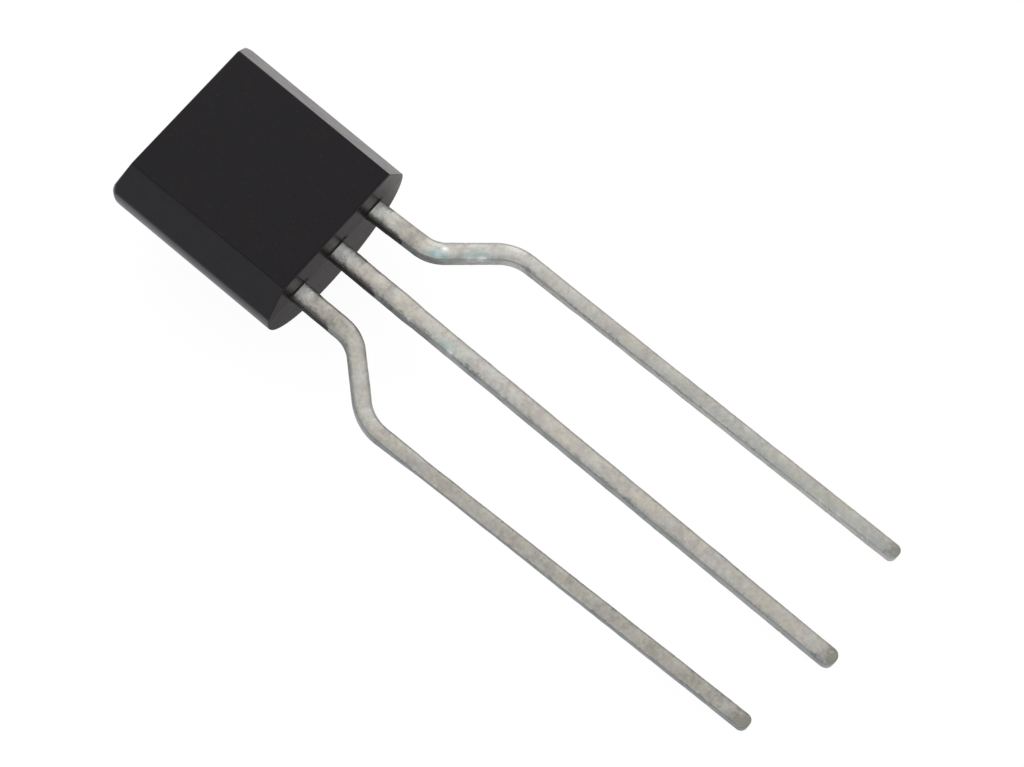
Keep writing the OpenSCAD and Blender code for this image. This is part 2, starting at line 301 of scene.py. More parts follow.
class Wiring:
    """Places nodes in a tree and links them."""

    def __init__(self, tree: bpy.types.NodeTree) -> None:
        """Starts on an empty tree."""
        self.tree = tree
        tree.nodes.clear()

    def add(
        self, kind: str, settings: dict[str, Any] | None = None, **inputs: Any
    ) -> bpy.types.Node:
        """Adds a node.

        Args:
            kind: Name of the node type.
            settings: Properties of the node.
            **inputs: Input sockets by name, with underscores for spaces. A
                socket is linked and any other value is set.

        Returns:
            The node.
        """
        made = self.tree.nodes.new(kind)
        for key, value in (settings or {}).items():
            setattr(made, key, value)
        for key, value in inputs.items():
            self.feed(made, key.replace("_", " "), value)
        return made

    def feed(self, made: bpy.types.Node, socket: str | int, value: Any) -> None:
        """Links or sets one input of a node.

        Args:
            made: The node.
            socket: Name or number of the input.
            value: A socket, which is linked, or a value, which is set.
        """
        target = made.inputs[socket]
        if isinstance(value, Socket):
            self.tree.links.new(value, target)
        else:
            target.default_value = value

    def _mixed(self, kind: MixKind, amount: Any, low: Any, high: Any) -> Socket:
        """Mixes two values.

        Args:
            kind: What the values are.
            amount: Share of the second value, from 0 to 1.
            low: The first value.
            high: The second value.

        Returns:
            The mixed value.
        """
        data_type, first, second, out = kind.value
        made = self.add("ShaderNodeMix", {"data_type": data_type})
        for number, value in ((0, amount), (first, low), (second, high)):
            self.feed(made, number, value)
        return made.outputs[out]

    def mix(self, amount: Any, low: Any, high: Any) -> Socket:
        """Mixes two colours and returns the result."""
        return self._mixed(MixKind.COLOUR, amount, low, high)

    def blend(self, amount: Any, low: Any, high: Any) -> Socket:
        """Mixes two numbers and returns the result."""
        return self._mixed(MixKind.NUMBER, amount, low, high)

    def calc(self, operation: str, *values: Any) -> Socket:
        """Puts numbers through a math node.

        Args:
            operation: Name of the operation.
            *values: Sockets or numbers, in the order of the node's inputs.

        Returns:
            The result.
        """
        made = self.add("ShaderNodeMath", {"operation": operation})
        for number, value in enumerate(values):
            self.feed(made, number, value)
        return made.outputs[0]

    def times(self, first: Any, second: Any) -> Socket:
        """Returns the product of two numbers."""
        return self.calc("MULTIPLY", first, second)

    def plus(self, first: Any, second: Any) -> Socket:
        """Returns the sum of two numbers."""
        return self.calc("ADD", first, second)

    def minus(self, first: Any, second: Any) -> Socket:
        """Returns the first number less the second."""
        return self.calc("SUBTRACT", first, second)

    def greater(self, first: Any, second: Any) -> Socket:
        """Returns the greater of two numbers."""
        return self.calc("MAXIMUM", first, second)

    def lesser(self, first: Any, second: Any) -> Socket:
        """Returns the lesser of two numbers."""
        return self.calc("MINIMUM", first, second)

    def ramp(self, value: Any, low: Any, high: Any) -> Socket:
        """Makes a smooth step.

        Args:
            value: The number that is stepped.
            low: The value below which the step is 0.
            high: The value above which it is 1.

        Returns:
            The step.
        """
        made = self.add("ShaderNodeMapRange", {"interpolation_type": "SMOOTHSTEP"})
        for socket, given in (("Value", value), ("From Min", low), ("From Max", high)):
            self.feed(made, socket, given)
        return made.outputs["Result"]

    def place(self) -> Socket:
        """Returns the place on the piece, in metres."""
        return self.add("ShaderNodeTexCoord").outputs["Object"]

    def axis(self, place: Any, name: str) -> Socket:
        """Returns one coordinate of a place."""
        return self.add("ShaderNodeSeparateXYZ", Vector=place).outputs[name]

    def distance(self, place: Any, centre: Place) -> Socket:
        """Measures how far a place is from a point.

        Args:
            place: The place.
            centre: The point.

        Returns:
            The distance in metres.
        """
        made = self.add("ShaderNodeVectorMath", {"operation": "DISTANCE"})
        self.feed(made, 0, place)
        self.feed(made, 1, centre)
        return made.outputs["Value"]

    def mask(self, name: Mask) -> Socket:
        """Reads a number that the mesh carries."""
        settings = {"attribute_type": "GEOMETRY", "attribute_name": name.value}
        return self.add("ShaderNodeAttribute", settings).outputs["Fac"]

    def group(self, tree: bpy.types.NodeTree, **inputs: Any) -> Socket:
        """Adds a shared effect with its own values and returns its first output."""
        return self.add("ShaderNodeGroup", {"node_tree": tree}, **inputs).outputs[0]

    def emboss(self, shader: bpy.types.Node, height: Any, strength: float, depth: float) -> None:
        """Gives a shader a bumpy surface.

        Args:
            shader: The shader.
            height: Height of the surface, from 0 to 1.
            strength: Strength of the bumps.
            depth: Depth that a height of 1 stands for, in metres.
        """
        bump = self.add("ShaderNodeBump", Strength=strength, Distance=depth, Height=height)
        self.feed(shader, "Normal", bump.outputs["Normal"])


def new_effect(
    name: str, inputs: dict[str, float | None], output: str
) -> tuple[Wiring, bpy.types.Node, bpy.types.Node]:
    """Starts a shared effect.

    Args:
        name: Name of the group.
        inputs: Names of its inputs with their usual values, None for a vector.
        output: Name of its output, which is a number.

    Returns:
        The wiring of the group, its input node and its output node.
    """
    tree = bpy.data.node_groups.new(name, "ShaderNodeTree")
    wiring = Wiring(tree)
    for label, value in inputs.items():
        kind = "NodeSocketVector" if value is None else "NodeSocketFloat"
        socket = tree.interface.new_socket(label, in_out="INPUT", socket_type=kind)
        if value is not None:
            socket.default_value = value
    tree.interface.new_socket(output, in_out="OUTPUT", socket_type="NodeSocketFloat")
    return wiring, wiring.add("NodeGroupInput"), wiring.add("NodeGroupOutput")


@dataclass(frozen=True)
class Clouds:
    """A mottle: its noise cells in a metre, and the levels where its clouds begin and are full."""

    scale: float
    low: float
    high: float


@dataclass(frozen=True)
class Specks:
    """Scattered specks: the cells in a metre that may hold one, and the share that does."""

    scale: float
    share: float


class Effects:
    """The shared effects: cloudy mottling, fine speckles and fine grain."""

    speck_edge: Span = (0.42, 0.12)
    coarse_scale: float = 0.17
    coarse_share: float = 0.45

    def __init__(self) -> None:
        """Builds each effect once."""
        self._mottle = self._build_mottle()
        self._speckle = self._build_speckle()
        self._grain = self._build_grain()

    @staticmethod
    def _build_mottle() -> bpy.types.NodeTree:
        """Builds soft clouds of several sizes, between a low and a high level.

        Returns:
            The group.
        """
        usual = {"Vector": None, "Scale": 4000.0, "Low": 0.4, "High": 0.6}
        wiring, given, out = new_effect("Mottle", usual, "Mask")
        broad = wiring.add(
            "ShaderNodeTexNoise",
            Vector=given.outputs["Vector"],
            Scale=given.outputs["Scale"],
            Detail=5.0,
            Roughness=0.62,
            Distortion=0.4,
        )
        clouds = wiring.ramp(broad.outputs["Fac"], given.outputs["Low"], given.outputs["High"])
        wiring.feed(out, "Mask", clouds)
        return wiring.tree

    def _build_speckle(self) -> bpy.types.NodeTree:
        """Builds small scattered specks, more of them as Share grows.

        Returns:
            The group.
        """
        usual = {"Vector": None, "Scale": 14000.0, "Share": 0.3}
        wiring, given, out = new_effect("Speckle", usual, "Mask")
        cells = wiring.add(
            "ShaderNodeTexVoronoi",
            {"feature": "F1"},
            Vector=given.outputs["Vector"],
            Scale=given.outputs["Scale"],
        )
        pick = wiring.add("ShaderNodeSeparateColor", Color=cells.outputs["Color"])
        chosen = wiring.calc("LESS_THAN", pick.outputs[0], given.outputs["Share"])
        speck = wiring.ramp(cells.outputs["Distance"], *self.speck_edge)
        wiring.feed(out, "Mask", wiring.times(chosen, speck))
        return wiring.tree

    def _build_grain(self) -> bpy.types.NodeTree:
        """Builds the height of a fine uneven surface.

        Returns:
            The group.
        """
        wiring, given, out = new_effect("Grain", {"Vector": None, "Scale": 16000.0}, "Height")
        fine = wiring.add(
            "ShaderNodeTexNoise",
            Vector=given.outputs["Vector"],
            Scale=given.outputs["Scale"],
            Detail=4.0,
            Roughness=0.6,
        )
        coarse = wiring.add(
            "ShaderNodeTexNoise",
            Vector=given.outputs["Vector"],
            Scale=wiring.times(given.outputs["Scale"], self.coarse_scale),
            Detail=2.0,
            Roughness=0.5,
        )
        height = wiring.blend(self.coarse_share, fine.outputs["Fac"], coarse.outputs["Fac"])
        wiring.feed(out, "Height", height)
        return wiring.tree

    def clouds(self, wiring: Wiring, place: Socket, clouds: Clouds) -> Socket:
        """Places a mottle and returns its mask."""
        values = {"Scale": clouds.scale, "Low": clouds.low, "High": clouds.high}
        return wiring.group(self._mottle, Vector=place, **values)

    def specks(self, wiring: Wiring, place: Socket, specks: Specks) -> Socket:
        """Places speckles and returns their mask."""
        return wiring.group(self._speckle, Vector=place, Scale=specks.scale, Share=specks.share)

    def grain(self, wiring: Wiring, place: Socket, scale: float) -> Socket:
        """Places a grain and returns its height."""
        return wiring.group(self._grain, Vector=place, Scale=scale)


def rgba(colour: Colour) -> tuple[float, float, float, float]:
    """Returns a colour with full opacity."""
    return (*colour, 1.0)


def new_material(name: str) -> tuple[bpy.types.Material, Wiring, bpy.types.Node]:
    """Starts a material.

    Args:
        name: Name of the material.

    Returns:
        The material, its wiring and its shader.
    """
    material = bpy.data.materials.new(name)
    material.use_nodes = True
    wiring = Wiring(material.node_tree)
    shader = wiring.add("ShaderNodeBsdfPrincipled")
    out = wiring.add("ShaderNodeOutputMaterial")
    wiring.feed(out, "Surface", shader.outputs["BSDF"])
    return material, wiring, shader


# ----------------------------------------------------------------- finishes


@dataclass(frozen=True)
class EpoxyFinish:
    """Satin black moulding compound with a fine filler mottle.

    Attributes:
        flecks: How many flecks there are.
        warm: Colour of the clouds at the top end.
        warm_span: Where, along the table, the top end begins and is full, in metres.
        sheen_level: Strength of the mirrored light.
        bump_depth: Depth of the grain in metres.
    """

    name: str = "moulded epoxy"
    base: Colour = (0.0064, 0.0050, 0.0082)
    cloud: Colour = (0.0094, 0.0072, 0.0076)
    clouds: Clouds = Clouds(2600.0, 0.40, 0.66)
    fleck: Colour = (0.018, 0.015, 0.014)
    flecks: Specks = Specks(16000.0, 0.12)
    warm: Colour = (0.0130, 0.0104, 0.0064)
    warm_span: Span = (0.0086, 0.0093)
    roughness: Span = (0.25, 0.29)
    sheen_level: float = 0.29
    grain_scale: float = 15000.0
    bump: float = 0.22
    bump_depth: float = 0.00001

    def material(self, effects: Effects) -> bpy.types.Material:
        """Builds the material.

        Args:
            effects: The shared effects.

        Returns:
            The material.
        """
        material, wiring, shader = new_material(self.name)
        place = wiring.place()
        clouds = effects.clouds(wiring, place, self.clouds)
        flecks = effects.specks(wiring, place, self.flecks)
        colour = wiring.mix(clouds, rgba(self.base), rgba(self.cloud))
        colour = wiring.mix(flecks, colour, rgba(self.fleck))
        top = wiring.ramp(wiring.axis(place, "Y"), *self.warm_span)
        colour = wiring.mix(wiring.times(top, clouds), colour, rgba(self.warm))
        wiring.feed(shader, "Base Color", colour)
        wiring.feed(shader, "Roughness", wiring.blend(clouds, *self.roughness))
        wiring.feed(shader, "Specular IOR Level", self.sheen_level)
        grain = effects.grain(wiring, place, self.grain_scale)
        wiring.emboss(shader, grain, self.bump, self.bump_depth)
        return material


class TinPatterns:
    """The wiring of the plating, with the patterns that its layers share."""

    def __init__(self, finish: "TinFinish", wiring: Wiring, effects: Effects) -> None:
        """Places the patterns.

        Args:
            finish: The plating.
            wiring: The wiring of its material.
            effects: The shared effects.
        """
        self.wiring = wiring
        self.effects = effects
        self.place = wiring.place()
        self.patchy = effects.clouds(wiring, self.place, finish.patchy)
        self.fine = effects.clouds(wiring, self.place, finish.fine)
        self.grain = effects.grain(wiring, self.place, finish.grain_scale)
        self.torn = effects.grain(wiring, self.place, finish.torn_scale)
        swing = wiring.times(self.grain, finish.raggedness)
        self.ragged = wiring.minus(swing, finish.raggedness / 2)


@dataclass(frozen=True)
class TinFinish:
    """Dull tin plating, mottled, with darker stamped sides and rubbed bends, and with light and
    shade painted into its colour.

    A span holds the two levels of a smooth step. A gain holds what a layer is
    multiplied by where its pattern is 0 and where it is 1.

    Attributes:
        yellow: Colour of its broad clouds.
        pink: Colour of its patches.
        dark: Colour of its fine mottling.
        light: Colour of the painted glints on the stamped sides.
        teal: Colour of the painted teal reflection round the glints and down one side.
        painted_glint_colour: Colour of the painted glints, small highlights painted on the lead.
        resin: Colour of the resin film and of the dirt.
        torn_scale: Grains in a metre of the torn pattern.
        raggedness: How far the grain moves the edge of a layer.
        blotch_span: Levels of the torn pattern in the blotches of a dull spot.
        blotch_gain: How the blotches change how dull it is.
        teal_gain: How the patches change the painted teal reflection.
        rolled_shade_ragged: How ragged the edge of the strip of painted shade is.
        rolled_shade_span: Levels of the strip of painted shade.
        rolled_shade_gain: How the fine mottling changes the strip.
        stamped_span: Levels of the stamped colour, partly the stamped finish and partly
            painted shade.
        lit_edge_span: Levels across the lead where its lit edge, with less painted shade, ends.
        lit_edge_gain: Strength of the stamped colour on the lit edge and elsewhere.
        pit_span: Levels of the torn pattern in the pits.
        pit_side: Levels of the stamped mask in the pits.
        pit_level: Strength of the pits.
        side_glints: How many painted glints, small light specks, the stamped sides have.
        glint_side: Levels of the stamped mask in them.
        glint_level: Their strength.
        exit_span: Levels of the film's reach where the lead leaves the body.
        exit_dirt: How much more dirt is there.
        dirt_scale: Specks of dirt in a metre.
        dirt_span: Levels of the dirt.
        dirt_level: Strength of the dirt.
        film_slope: How fast the resin film thins towards its end.
        film_cap: How thick it is at the most.
        film_spread: How much less of it is on the faces than on the sides.
        film_ragged: How ragged it is.
        film_span: Levels of the film.
        gap_span: Levels of the torn pattern in its thin places.
        film_gain: Strength of the film outside them and in them.
        rubbed_roughness: Roughness of rubbed places, of the painted teal reflection and of the
            painted glints.
        bump_depth: Depth of the grain in metres.
    """

    name: str = "tinned lead"
    base: Colour = (0.575, 0.562, 0.526)
    yellow: Colour = (0.575, 0.546, 0.472)
    pink: Colour = (0.555, 0.517, 0.490)
    dark: Colour = (0.22, 0.22, 0.205)
    # Colour of the painted glints on the stamped sides.
    light: Colour = (0.66, 0.66, 0.63)
    # Painted light near the seating face.
    painted_root_light: Colour = (0.84, 0.85, 0.83)
    dull: Colour = (0.30, 0.288, 0.25)
    teal: Colour = (0.29, 0.46, 0.46)
    # Partly the finish of the stamped sides, partly painted shade.
    stamped: Colour = (0.355, 0.372, 0.358)
    pit: Colour = (0.13, 0.165, 0.165)
    painted_glint_colour: Colour = (0.97, 0.98, 0.98)
    resin: Colour = (0.026, 0.018, 0.013)
    broad: Clouds = Clouds(900.0, 0.42, 0.60)
    patchy: Clouds = Clouds(2700.0, 0.46, 0.62)
    fine: Clouds = Clouds(7500.0, 0.36, 0.66)
    fine_level: float = 0.24
    grain_scale: float = 9000.0
    torn_scale: float = 13000.0
    raggedness: float = 0.9
    blotch_span: Span = (0.42, 0.62)
    blotch_gain: Span = (0.7, 1.6)
    teal_gain: Span = (0.55, 1.0)
    rolled_shade_ragged: float = 0.8
    rolled_shade_span: Span = (0.50, 0.80)
    rolled_shade_gain: Span = (0.25, 0.75)
    stamped_span: Span = (0.10, 1.0)
    lit_edge_span: Span = (-0.9, -0.4)
    lit_edge_gain: Span = (0.15, 1.0)
    pit_span: Span = (0.50, 0.64)
    pit_side: Span = (0.2, 0.6)
    pit_level: float = 0.58
    side_glints: Specks = Specks(11000.0, 0.07)
    glint_side: Span = (0.1, 0.5)
    glint_level: float = 0.5
    exit_span: Span = (-0.5, 0.8)
    exit_dirt: float = 0.09
    dirt_scale: float = 24000.0
    dirt_span: Span = (0.62, 0.82)
    dirt_level: float = 0.7
    film_slope: float = 2.0
    film_cap: float = 0.24
    film_spread: float = 0.36
    film_ragged: float = 0.5
    film_span: Span = (-0.12, 0.10)
    gap_span: Span = (0.35, 0.55)
    film_gain: Span = (1.0, 0.7)
    roughness: Span = (0.42, 0.56)
    rubbed_roughness: float = 0.28
    film_roughness: float = 0.5
    bump: float = 0.35
    bump_depth: float = 0.00002

    def _plating_and_painted_light(self, patterns: TinPatterns) -> Socket:
        """Mixes the mottled plating with its dull stretches and with light painted near the
        seating face.

        Args:
            patterns: The shared patterns.

        Returns:
            The colour.
        """
        wiring = patterns.wiring
        broad = patterns.effects.clouds(wiring, patterns.place, self.broad)
        colour = wiring.mix(broad, rgba(self.base), rgba(self.yellow))
        colour = wiring.mix(patterns.patchy, colour, rgba(self.pink))
        dull = wiring.mask(Mask.DULL_AND_PAINTED_LIGHT)
        blotches = wiring.ramp(patterns.torn, *self.blotch_span)
        dulled = wiring.times(dull, wiring.blend(blotches, *self.blotch_gain))
        colour = wiring.mix(dulled, colour, rgba(self.dull))
        # Painted light: lighter near the seating face, where the mask is below 0.
        colour = wiring.mix(wiring.times(dull, -1.0), colour, rgba(self.painted_root_light))
        return wiring.mix(wiring.times(patterns.fine, self.fine_level), colour, rgba(self.dark))

    def _stamped_and_shade_mask(self, patterns: TinPatterns) -> Socket:
        """Finds the stamped sides and the strip of painted shade that spreads onto the face.

        Args:
            patterns: The shared patterns.

        Returns:
            The mask, with a ragged edge.
        """
        wiring = patterns.wiring
        edge = wiring.times(patterns.ragged, self.rolled_shade_ragged)
        rolled = wiring.ramp(wiring.plus(wiring.mask(Mask.ROLLED_SHADE), edge), *self.rolled_shade_span)
        rolled = wiring.times(rolled, wiring.blend(patterns.fine, *self.rolled_shade_gain))
        return wiring.greater(wiring.plus(wiring.mask(Mask.STAMPED), patterns.ragged), rolled)

    def _stamped_side_shade_and_glints(self, patterns: TinPatterns, colour: Socket) -> Socket:
        """Lays the stamped colour, partly painted shade, with its pits and painted glints over the
        plating.

        Args:
            patterns: The shared patterns.
            colour: The colour below.

        Returns:
            The colour.
        """
        wiring = patterns.wiring
        stamped = self._stamped_and_shade_mask(patterns)
        # The lit edge gets less of the painted shade.
        lit_edge = wiring.ramp(wiring.mask(Mask.HAND), *self.lit_edge_span)
        amount = wiring.ramp(stamped, *self.stamped_span)
        amount = wiring.times(amount, wiring.blend(lit_edge, *self.lit_edge_gain))
        colour = wiring.mix(amount, colour, rgba(self.stamped))
        pits = wiring.ramp(patterns.torn, *self.pit_span)
        pits = wiring.times(pits, wiring.ramp(stamped, *self.pit_side))
        colour = wiring.mix(wiring.times(pits, self.pit_level), colour, rgba(self.pit))
        # Painted glints: small light specks on the stamped sides.
        specks = patterns.effects.specks(wiring, patterns.place, self.side_glints)
        specks = wiring.times(specks, wiring.ramp(stamped, *self.glint_side))
        return wiring.mix(wiring.times(specks, self.glint_level), colour, rgba(self.light))

    def _dirt(self, patterns: TinPatterns) -> Socket:
        """Scatters specks of dirt, more of them where the lead leaves the body.

        Args:
            patterns: The shared patterns.

        Returns:
            The mask of the specks.
        """
        wiring = patterns.wiring
        exits = wiring.ramp(wiring.mask(Mask.REACH), *self.exit_span)
        dirt = patterns.effects.grain(wiring, patterns.place, self.dirt_scale)
        return wiring.ramp(wiring.plus(dirt, wiring.times(exits, self.exit_dirt)), *self.dirt_span)

    def _film(self, patterns: TinPatterns) -> Socket:
        """Spreads the resin film down the sides of the lead.

        Args:
            patterns: The shared patterns.

        Returns:
            The mask of the film.
        """
        wiring = patterns.wiring
        slope = wiring.times(wiring.mask(Mask.REACH), self.film_slope)
        film = wiring.lesser(slope, self.film_cap)
        face = wiring.times(wiring.minus(1.0, wiring.mask(Mask.STAMPED)), self.film_spread)
        edge = wiring.times(patterns.ragged, self.film_ragged)
        film = wiring.ramp(wiring.plus(wiring.minus(film, face), edge), *self.film_span)
        gaps = wiring.ramp(patterns.torn, *self.gap_span)
        return wiring.times(film, wiring.blend(gaps, *self.film_gain))

    def material(self, effects: Effects) -> bpy.types.Material:
        """Builds the material.

        Args:
            effects: The shared effects.

        Returns:
            The material.
        """
        material, wiring, shader = new_material(self.name)
        patterns = TinPatterns(self, wiring, effects)
        patchy = wiring.blend(patterns.patchy, *self.teal_gain)
        stain = wiring.times(wiring.mask(Mask.TEAL_SHEEN), patchy)
        painted_glints = wiring.mask(Mask.GLINT)
        dirt = self._dirt(patterns)
        film = self._film(patterns)
        # Painted teal reflection, round the glints and down one side of the lead.
        colour = wiring.mix(stain, self._plating_and_painted_light(patterns), rgba(self.teal))
        colour = self._stamped_side_shade_and_glints(patterns, colour)
        # Painted glints: small highlights painted into the colour, on smoother metal.
        colour = wiring.mix(painted_glints, colour, rgba(self.painted_glint_colour))
        colour = wiring.mix(wiring.times(dirt, self.dirt_level), colour, rgba(self.resin))
        wiring.feed(shader, "Base Color", wiring.mix(film, colour, rgba(self.resin)))
        wiring.feed(shader, "Metallic", wiring.minus(1.0, wiring.greater(film, dirt)))
        smooth = wiring.greater(wiring.greater(wiring.mask(Mask.RUBBED), stain), painted_glints)
        rough = wiring.blend(patterns.patchy, *self.roughness)
        rough = wiring.blend(smooth, rough, self.rubbed_roughness)
        wiring.feed(shader, "Roughness", wiring.blend(film, rough, self.film_roughness))
        wiring.emboss(shader, patterns.grain, self.bump, self.bump_depth)
        return material


@dataclass(frozen=True)
class PlainFinish:
    """A finish of one colour with soft mottling, for what lies in the resin."""

    name: str
    base: Colour
    cloud: Colour
    metallic: float
    roughness: Span
    clouds: Clouds = Clouds(5000.0, 0.35, 0.65)
    grain_scale: float = 15000.0
    bump: float = 0.15
    bump_depth: float = 0.00001

    def material(self, effects: Effects) -> bpy.types.Material:
        """Builds the material.

        Args:
            effects: The shared effects.

        Returns:
            The material.
        """
        material, wiring, shader = new_material(self.name)
        place = wiring.place()
        clouds = effects.clouds(wiring, place, self.clouds)
        colour = wiring.mix(clouds, rgba(self.base), rgba(self.cloud))
        wiring.feed(shader, "Base Color", colour)
        wiring.feed(shader, "Metallic", self.metallic)
        wiring.feed(shader, "Roughness", wiring.blend(clouds, *self.roughness))
        grain = effects.grain(wiring, place, self.grain_scale)
        wiring.emboss(shader, grain, self.bump, self.bump_depth)
        return material


EPOXY_FACE = EpoxyFinish(name="epoxy flat face", sheen_level=0.15)
EPOXY_END = EpoxyFinish(
    name="epoxy seating face",
    base=(0.0130, 0.0085, 0.0080),
    cloud=(0.0245, 0.0165, 0.0155),
    roughness=(0.25, 0.30),
    sheen_level=0.06,
    bump=0.15,
)
RESIN_FLASH = EpoxyFinish(
    name="resin flash",
    base=(0.013, 0.0105, 0.009),
    cloud=(0.030, 0.023, 0.018),
    fleck=(0.055, 0.043, 0.034),
    flecks=Specks(16000.0, 0.3),
    roughness=(0.45, 0.65),
    sheen_level=0.24,
    bump=0.5,
)
BODY_FINISHES = {Skin.SIDES: EpoxyFinish(), Skin.END: EPOXY_END, Skin.FACE: EPOXY_FACE}
SOLDER = PlainFinish(
    name="die attach solder",
    base=(0.40, 0.41, 0.42),
    cloud=(0.52, 0.52, 0.51),
    metallic=1.0,
    roughness=(0.35, 0.5),
)
SILICON = PlainFinish(
    name="silicon chip",
    base=(0.09, 0.10, 0.13),
    cloud=(0.13, 0.14, 0.18),
    metallic=0.6,
    roughness=(0.08, 0.16),
)
GOLD = PlainFinish(
    name="gold wire",
    base=(0.88, 0.62, 0.22),
    cloud=(0.93, 0.70, 0.32),
    metallic=1.0,
    roughness=(0.18, 0.28),
    clouds=Clouds(20000.0, 0.35, 0.65),
    grain_scale=60000.0,
)


# --------------------------------------------------------------------- body


@dataclass
class EpoxyBody:
    """The moulded body: a round back, a flat face and two slanted sides.

    Attributes:
        face_depth: Distance from the lead plane to the flat face.
        shoulder_depth: How far in front of the lead plane the sides meet the back.
        shoulder: Round between a side face and the back.
        shoulder_top: Round of the shoulder's top corner.
        crease: Round between the flat face and a side face.
        broken_edge: Round that takes the sharpness off what is left.
        top_front_draft: Slope of the top in front of its ridge, in degrees.
        top_back_draft: The same behind its ridge.
        bottom_front_draft: Slope of the seating face in front of the lead plane.
        bottom_back_draft: The same behind it.
        sliver: Edges shorter than this are closed up.
        sharp_angle: Edges that turn by more than this, in degrees, are broken.
        flat_angle: Edges of the end faces that turn by less than this stay smooth.
        facing: Least part of a normal along an axis, for a face that looks that way.
    """

    back_radius: float = 2.275
    face_depth: float = 1.19
    face_width: float = 3.53
    face_height: float = 4.36
    shoulder_depth: float = 0.24
    back_top: Round = Round(0.22, 8)
    shoulder: Round = Round(0.25, 4)
    shoulder_top: Round = Round(0.26, 6)
    crease: Round = Round(0.08, 5)
    side_top: Round = Round(0.06, 5)
    face_edge: Round = Round(0.06, 4)
    broken_edge: Round = Round(0.014, 2)
    top_front_draft: float = 11.0
    top_back_draft: float = 4.0
    bottom_front_draft: float = 1.5
    bottom_back_draft: float = 0.5
    mark_diameter: float = 1.2
    mark_depth: float = 0.1
    mark_height: float = 2.5
    facets: int = 160
    mark_facets: int = 64
    sliver: float = 0.0008
    sharp_angle: float = 40.0
    flat_angle: float = 1.0
    facing: float = 0.9

    @property
    def face_bottom(self) -> float:
        """Height of the flat face's bottom edge."""
        return self.face_depth * math.tan(math.radians(self.bottom_front_draft))

    @property
    def face_middle(self) -> float:
        """Height of the middle of the flat face."""
        return self.face_bottom + self.face_height / 2

    @property
    def top(self) -> float:
        """Height of the top ridge."""
        rise = self.face_depth * math.tan(math.radians(self.top_front_draft))
        return self.face_bottom + self.face_height + rise

    def _side_normal(self, side: Side) -> Vector:
        """Works out which way a side face looks.

        Args:
            side: The side.

        Returns:
            The outward normal.
        """
        reach = math.sqrt(self.back_radius**2 - self.shoulder_depth**2)
        run = Vector((reach - self.face_width / 2, self.face_depth - self.shoulder_depth))
        normal = Vector((run.y, -run.x, 0.0)).normalized()
        return Vector((side.value * normal.x, normal.y, 0.0))

    def _round_back(self, mesh: bmesh.types.BMesh) -> None:
        """Makes the full round, with its top edge rounded off.

        Args:
            mesh: The mesh, which is empty.
        """
        spare = 1.0
        bmesh.ops.create_cone(
            mesh,
            cap_ends=True,
            segments=self.facets,
            radius1=self.back_radius,
            radius2=self.back_radius,
            depth=self.top + spare,
            matrix=Matrix.Translation((0.0, 0.0, (self.top - spare) / 2)),
        )
        rim = edges_where(mesh, lambda edge: all(near(vert.co.z, self.top) for vert in edge.verts))
        soften(mesh, rim, self.back_top)

    def _trim_sides(self, mesh: bmesh.types.BMesh) -> None:
        """Cuts the flat face and the side faces, with their creases and shoulders.

        Args:
            mesh: The full round.
        """
        cut_away(mesh, FLAT_WAY * self.face_depth, FLAT_WAY)
        for side in Side:
            corner = Vector((side.value * self.face_width / 2, -self.face_depth, 0.0))
            normal = self._side_normal(side)
            cut_away(mesh, corner, normal)
            centre = edge_centre(corner, FLAT_WAY, normal, self.crease)
            round_off(mesh, centre, self.crease, FLAT_WAY, normal)
            along = Vector((-normal.y * side.value, normal.x * side.value, 0.0))
            reach = corner.dot(normal) - self.shoulder.radius
            run = math.sqrt((self.back_radius - self.shoulder.radius) ** 2 - reach**2)
            centre = normal * reach + along * run
            back = centre.normalized()
            round_off(mesh, centre, self.shoulder, normal, back)
            outward = (normal + back).normalized()
            place = centre + outward * (self.shoulder.radius - self.shoulder_top.radius)
            place.z = self.top - self.shoulder_top.radius
            round_off(mesh, place, self.shoulder_top, outward, UP)

    def _trim_ends(self, mesh: bmesh.types.BMesh) -> None:
        """Cuts the drafted top and the seating face, with the rounds of their edges.

        Args:
            mesh: The shape with its sides.
        """
        for height, front, back in (
            (self.top, self.top_front_draft, self.top_back_draft),
            (0.0, self.bottom_front_draft, self.bottom_back_draft),
        ):
            up = 1.0 if height else -1.0
            for draft, way in ((front, -1.0), (back, 1.0)):
                slope = math.radians(draft)
                outward = (0.0, way * math.sin(slope), up * math.cos(slope))
                cut_away(mesh, (0.0, 0.0, height), outward)
            slope = math.radians(front)
            end = Vector((0.0, -math.sin(slope), up * math.cos(slope)))
            fall = up * self.face_depth * math.tan(slope)
            lip = Vector((0.0, -self.face_depth, height - fall))
            centre = edge_centre(lip, FLAT_WAY, end, self.face_edge)
            round_off(mesh, centre, self.face_edge, FLAT_WAY, end)
            for side in Side if height else ():
                corner = lip + Vector((side.value * self.face_width / 2, 0.0, 0.0))
                normal = self._side_normal(side)
                centre = edge_centre(corner, normal, end, self.side_top)
                round_off(mesh, centre, self.side_top, normal, end)

    def _break_edges(self, mesh: bmesh.types.BMesh) -> None:
        """Takes the sharpness off the edges that are left.

        Args:
            mesh: The trimmed shape.
        """
        bmesh.ops.recalc_face_normals(mesh, faces=mesh.faces[:])
        bmesh.ops.remove_doubles(mesh, verts=mesh.verts[:], dist=self.sliver)
        bmesh.ops.dissolve_degenerate(mesh, edges=mesh.edges[:], dist=self.sliver)
        mesh.normal_update()
        limit = math.radians(self.sharp_angle)
        sharp = edges_where(
            mesh, lambda edge: len(edge.link_faces) == 2 and edge.calc_face_angle() > limit
        )
        soften(mesh, sharp, self.broken_edge)

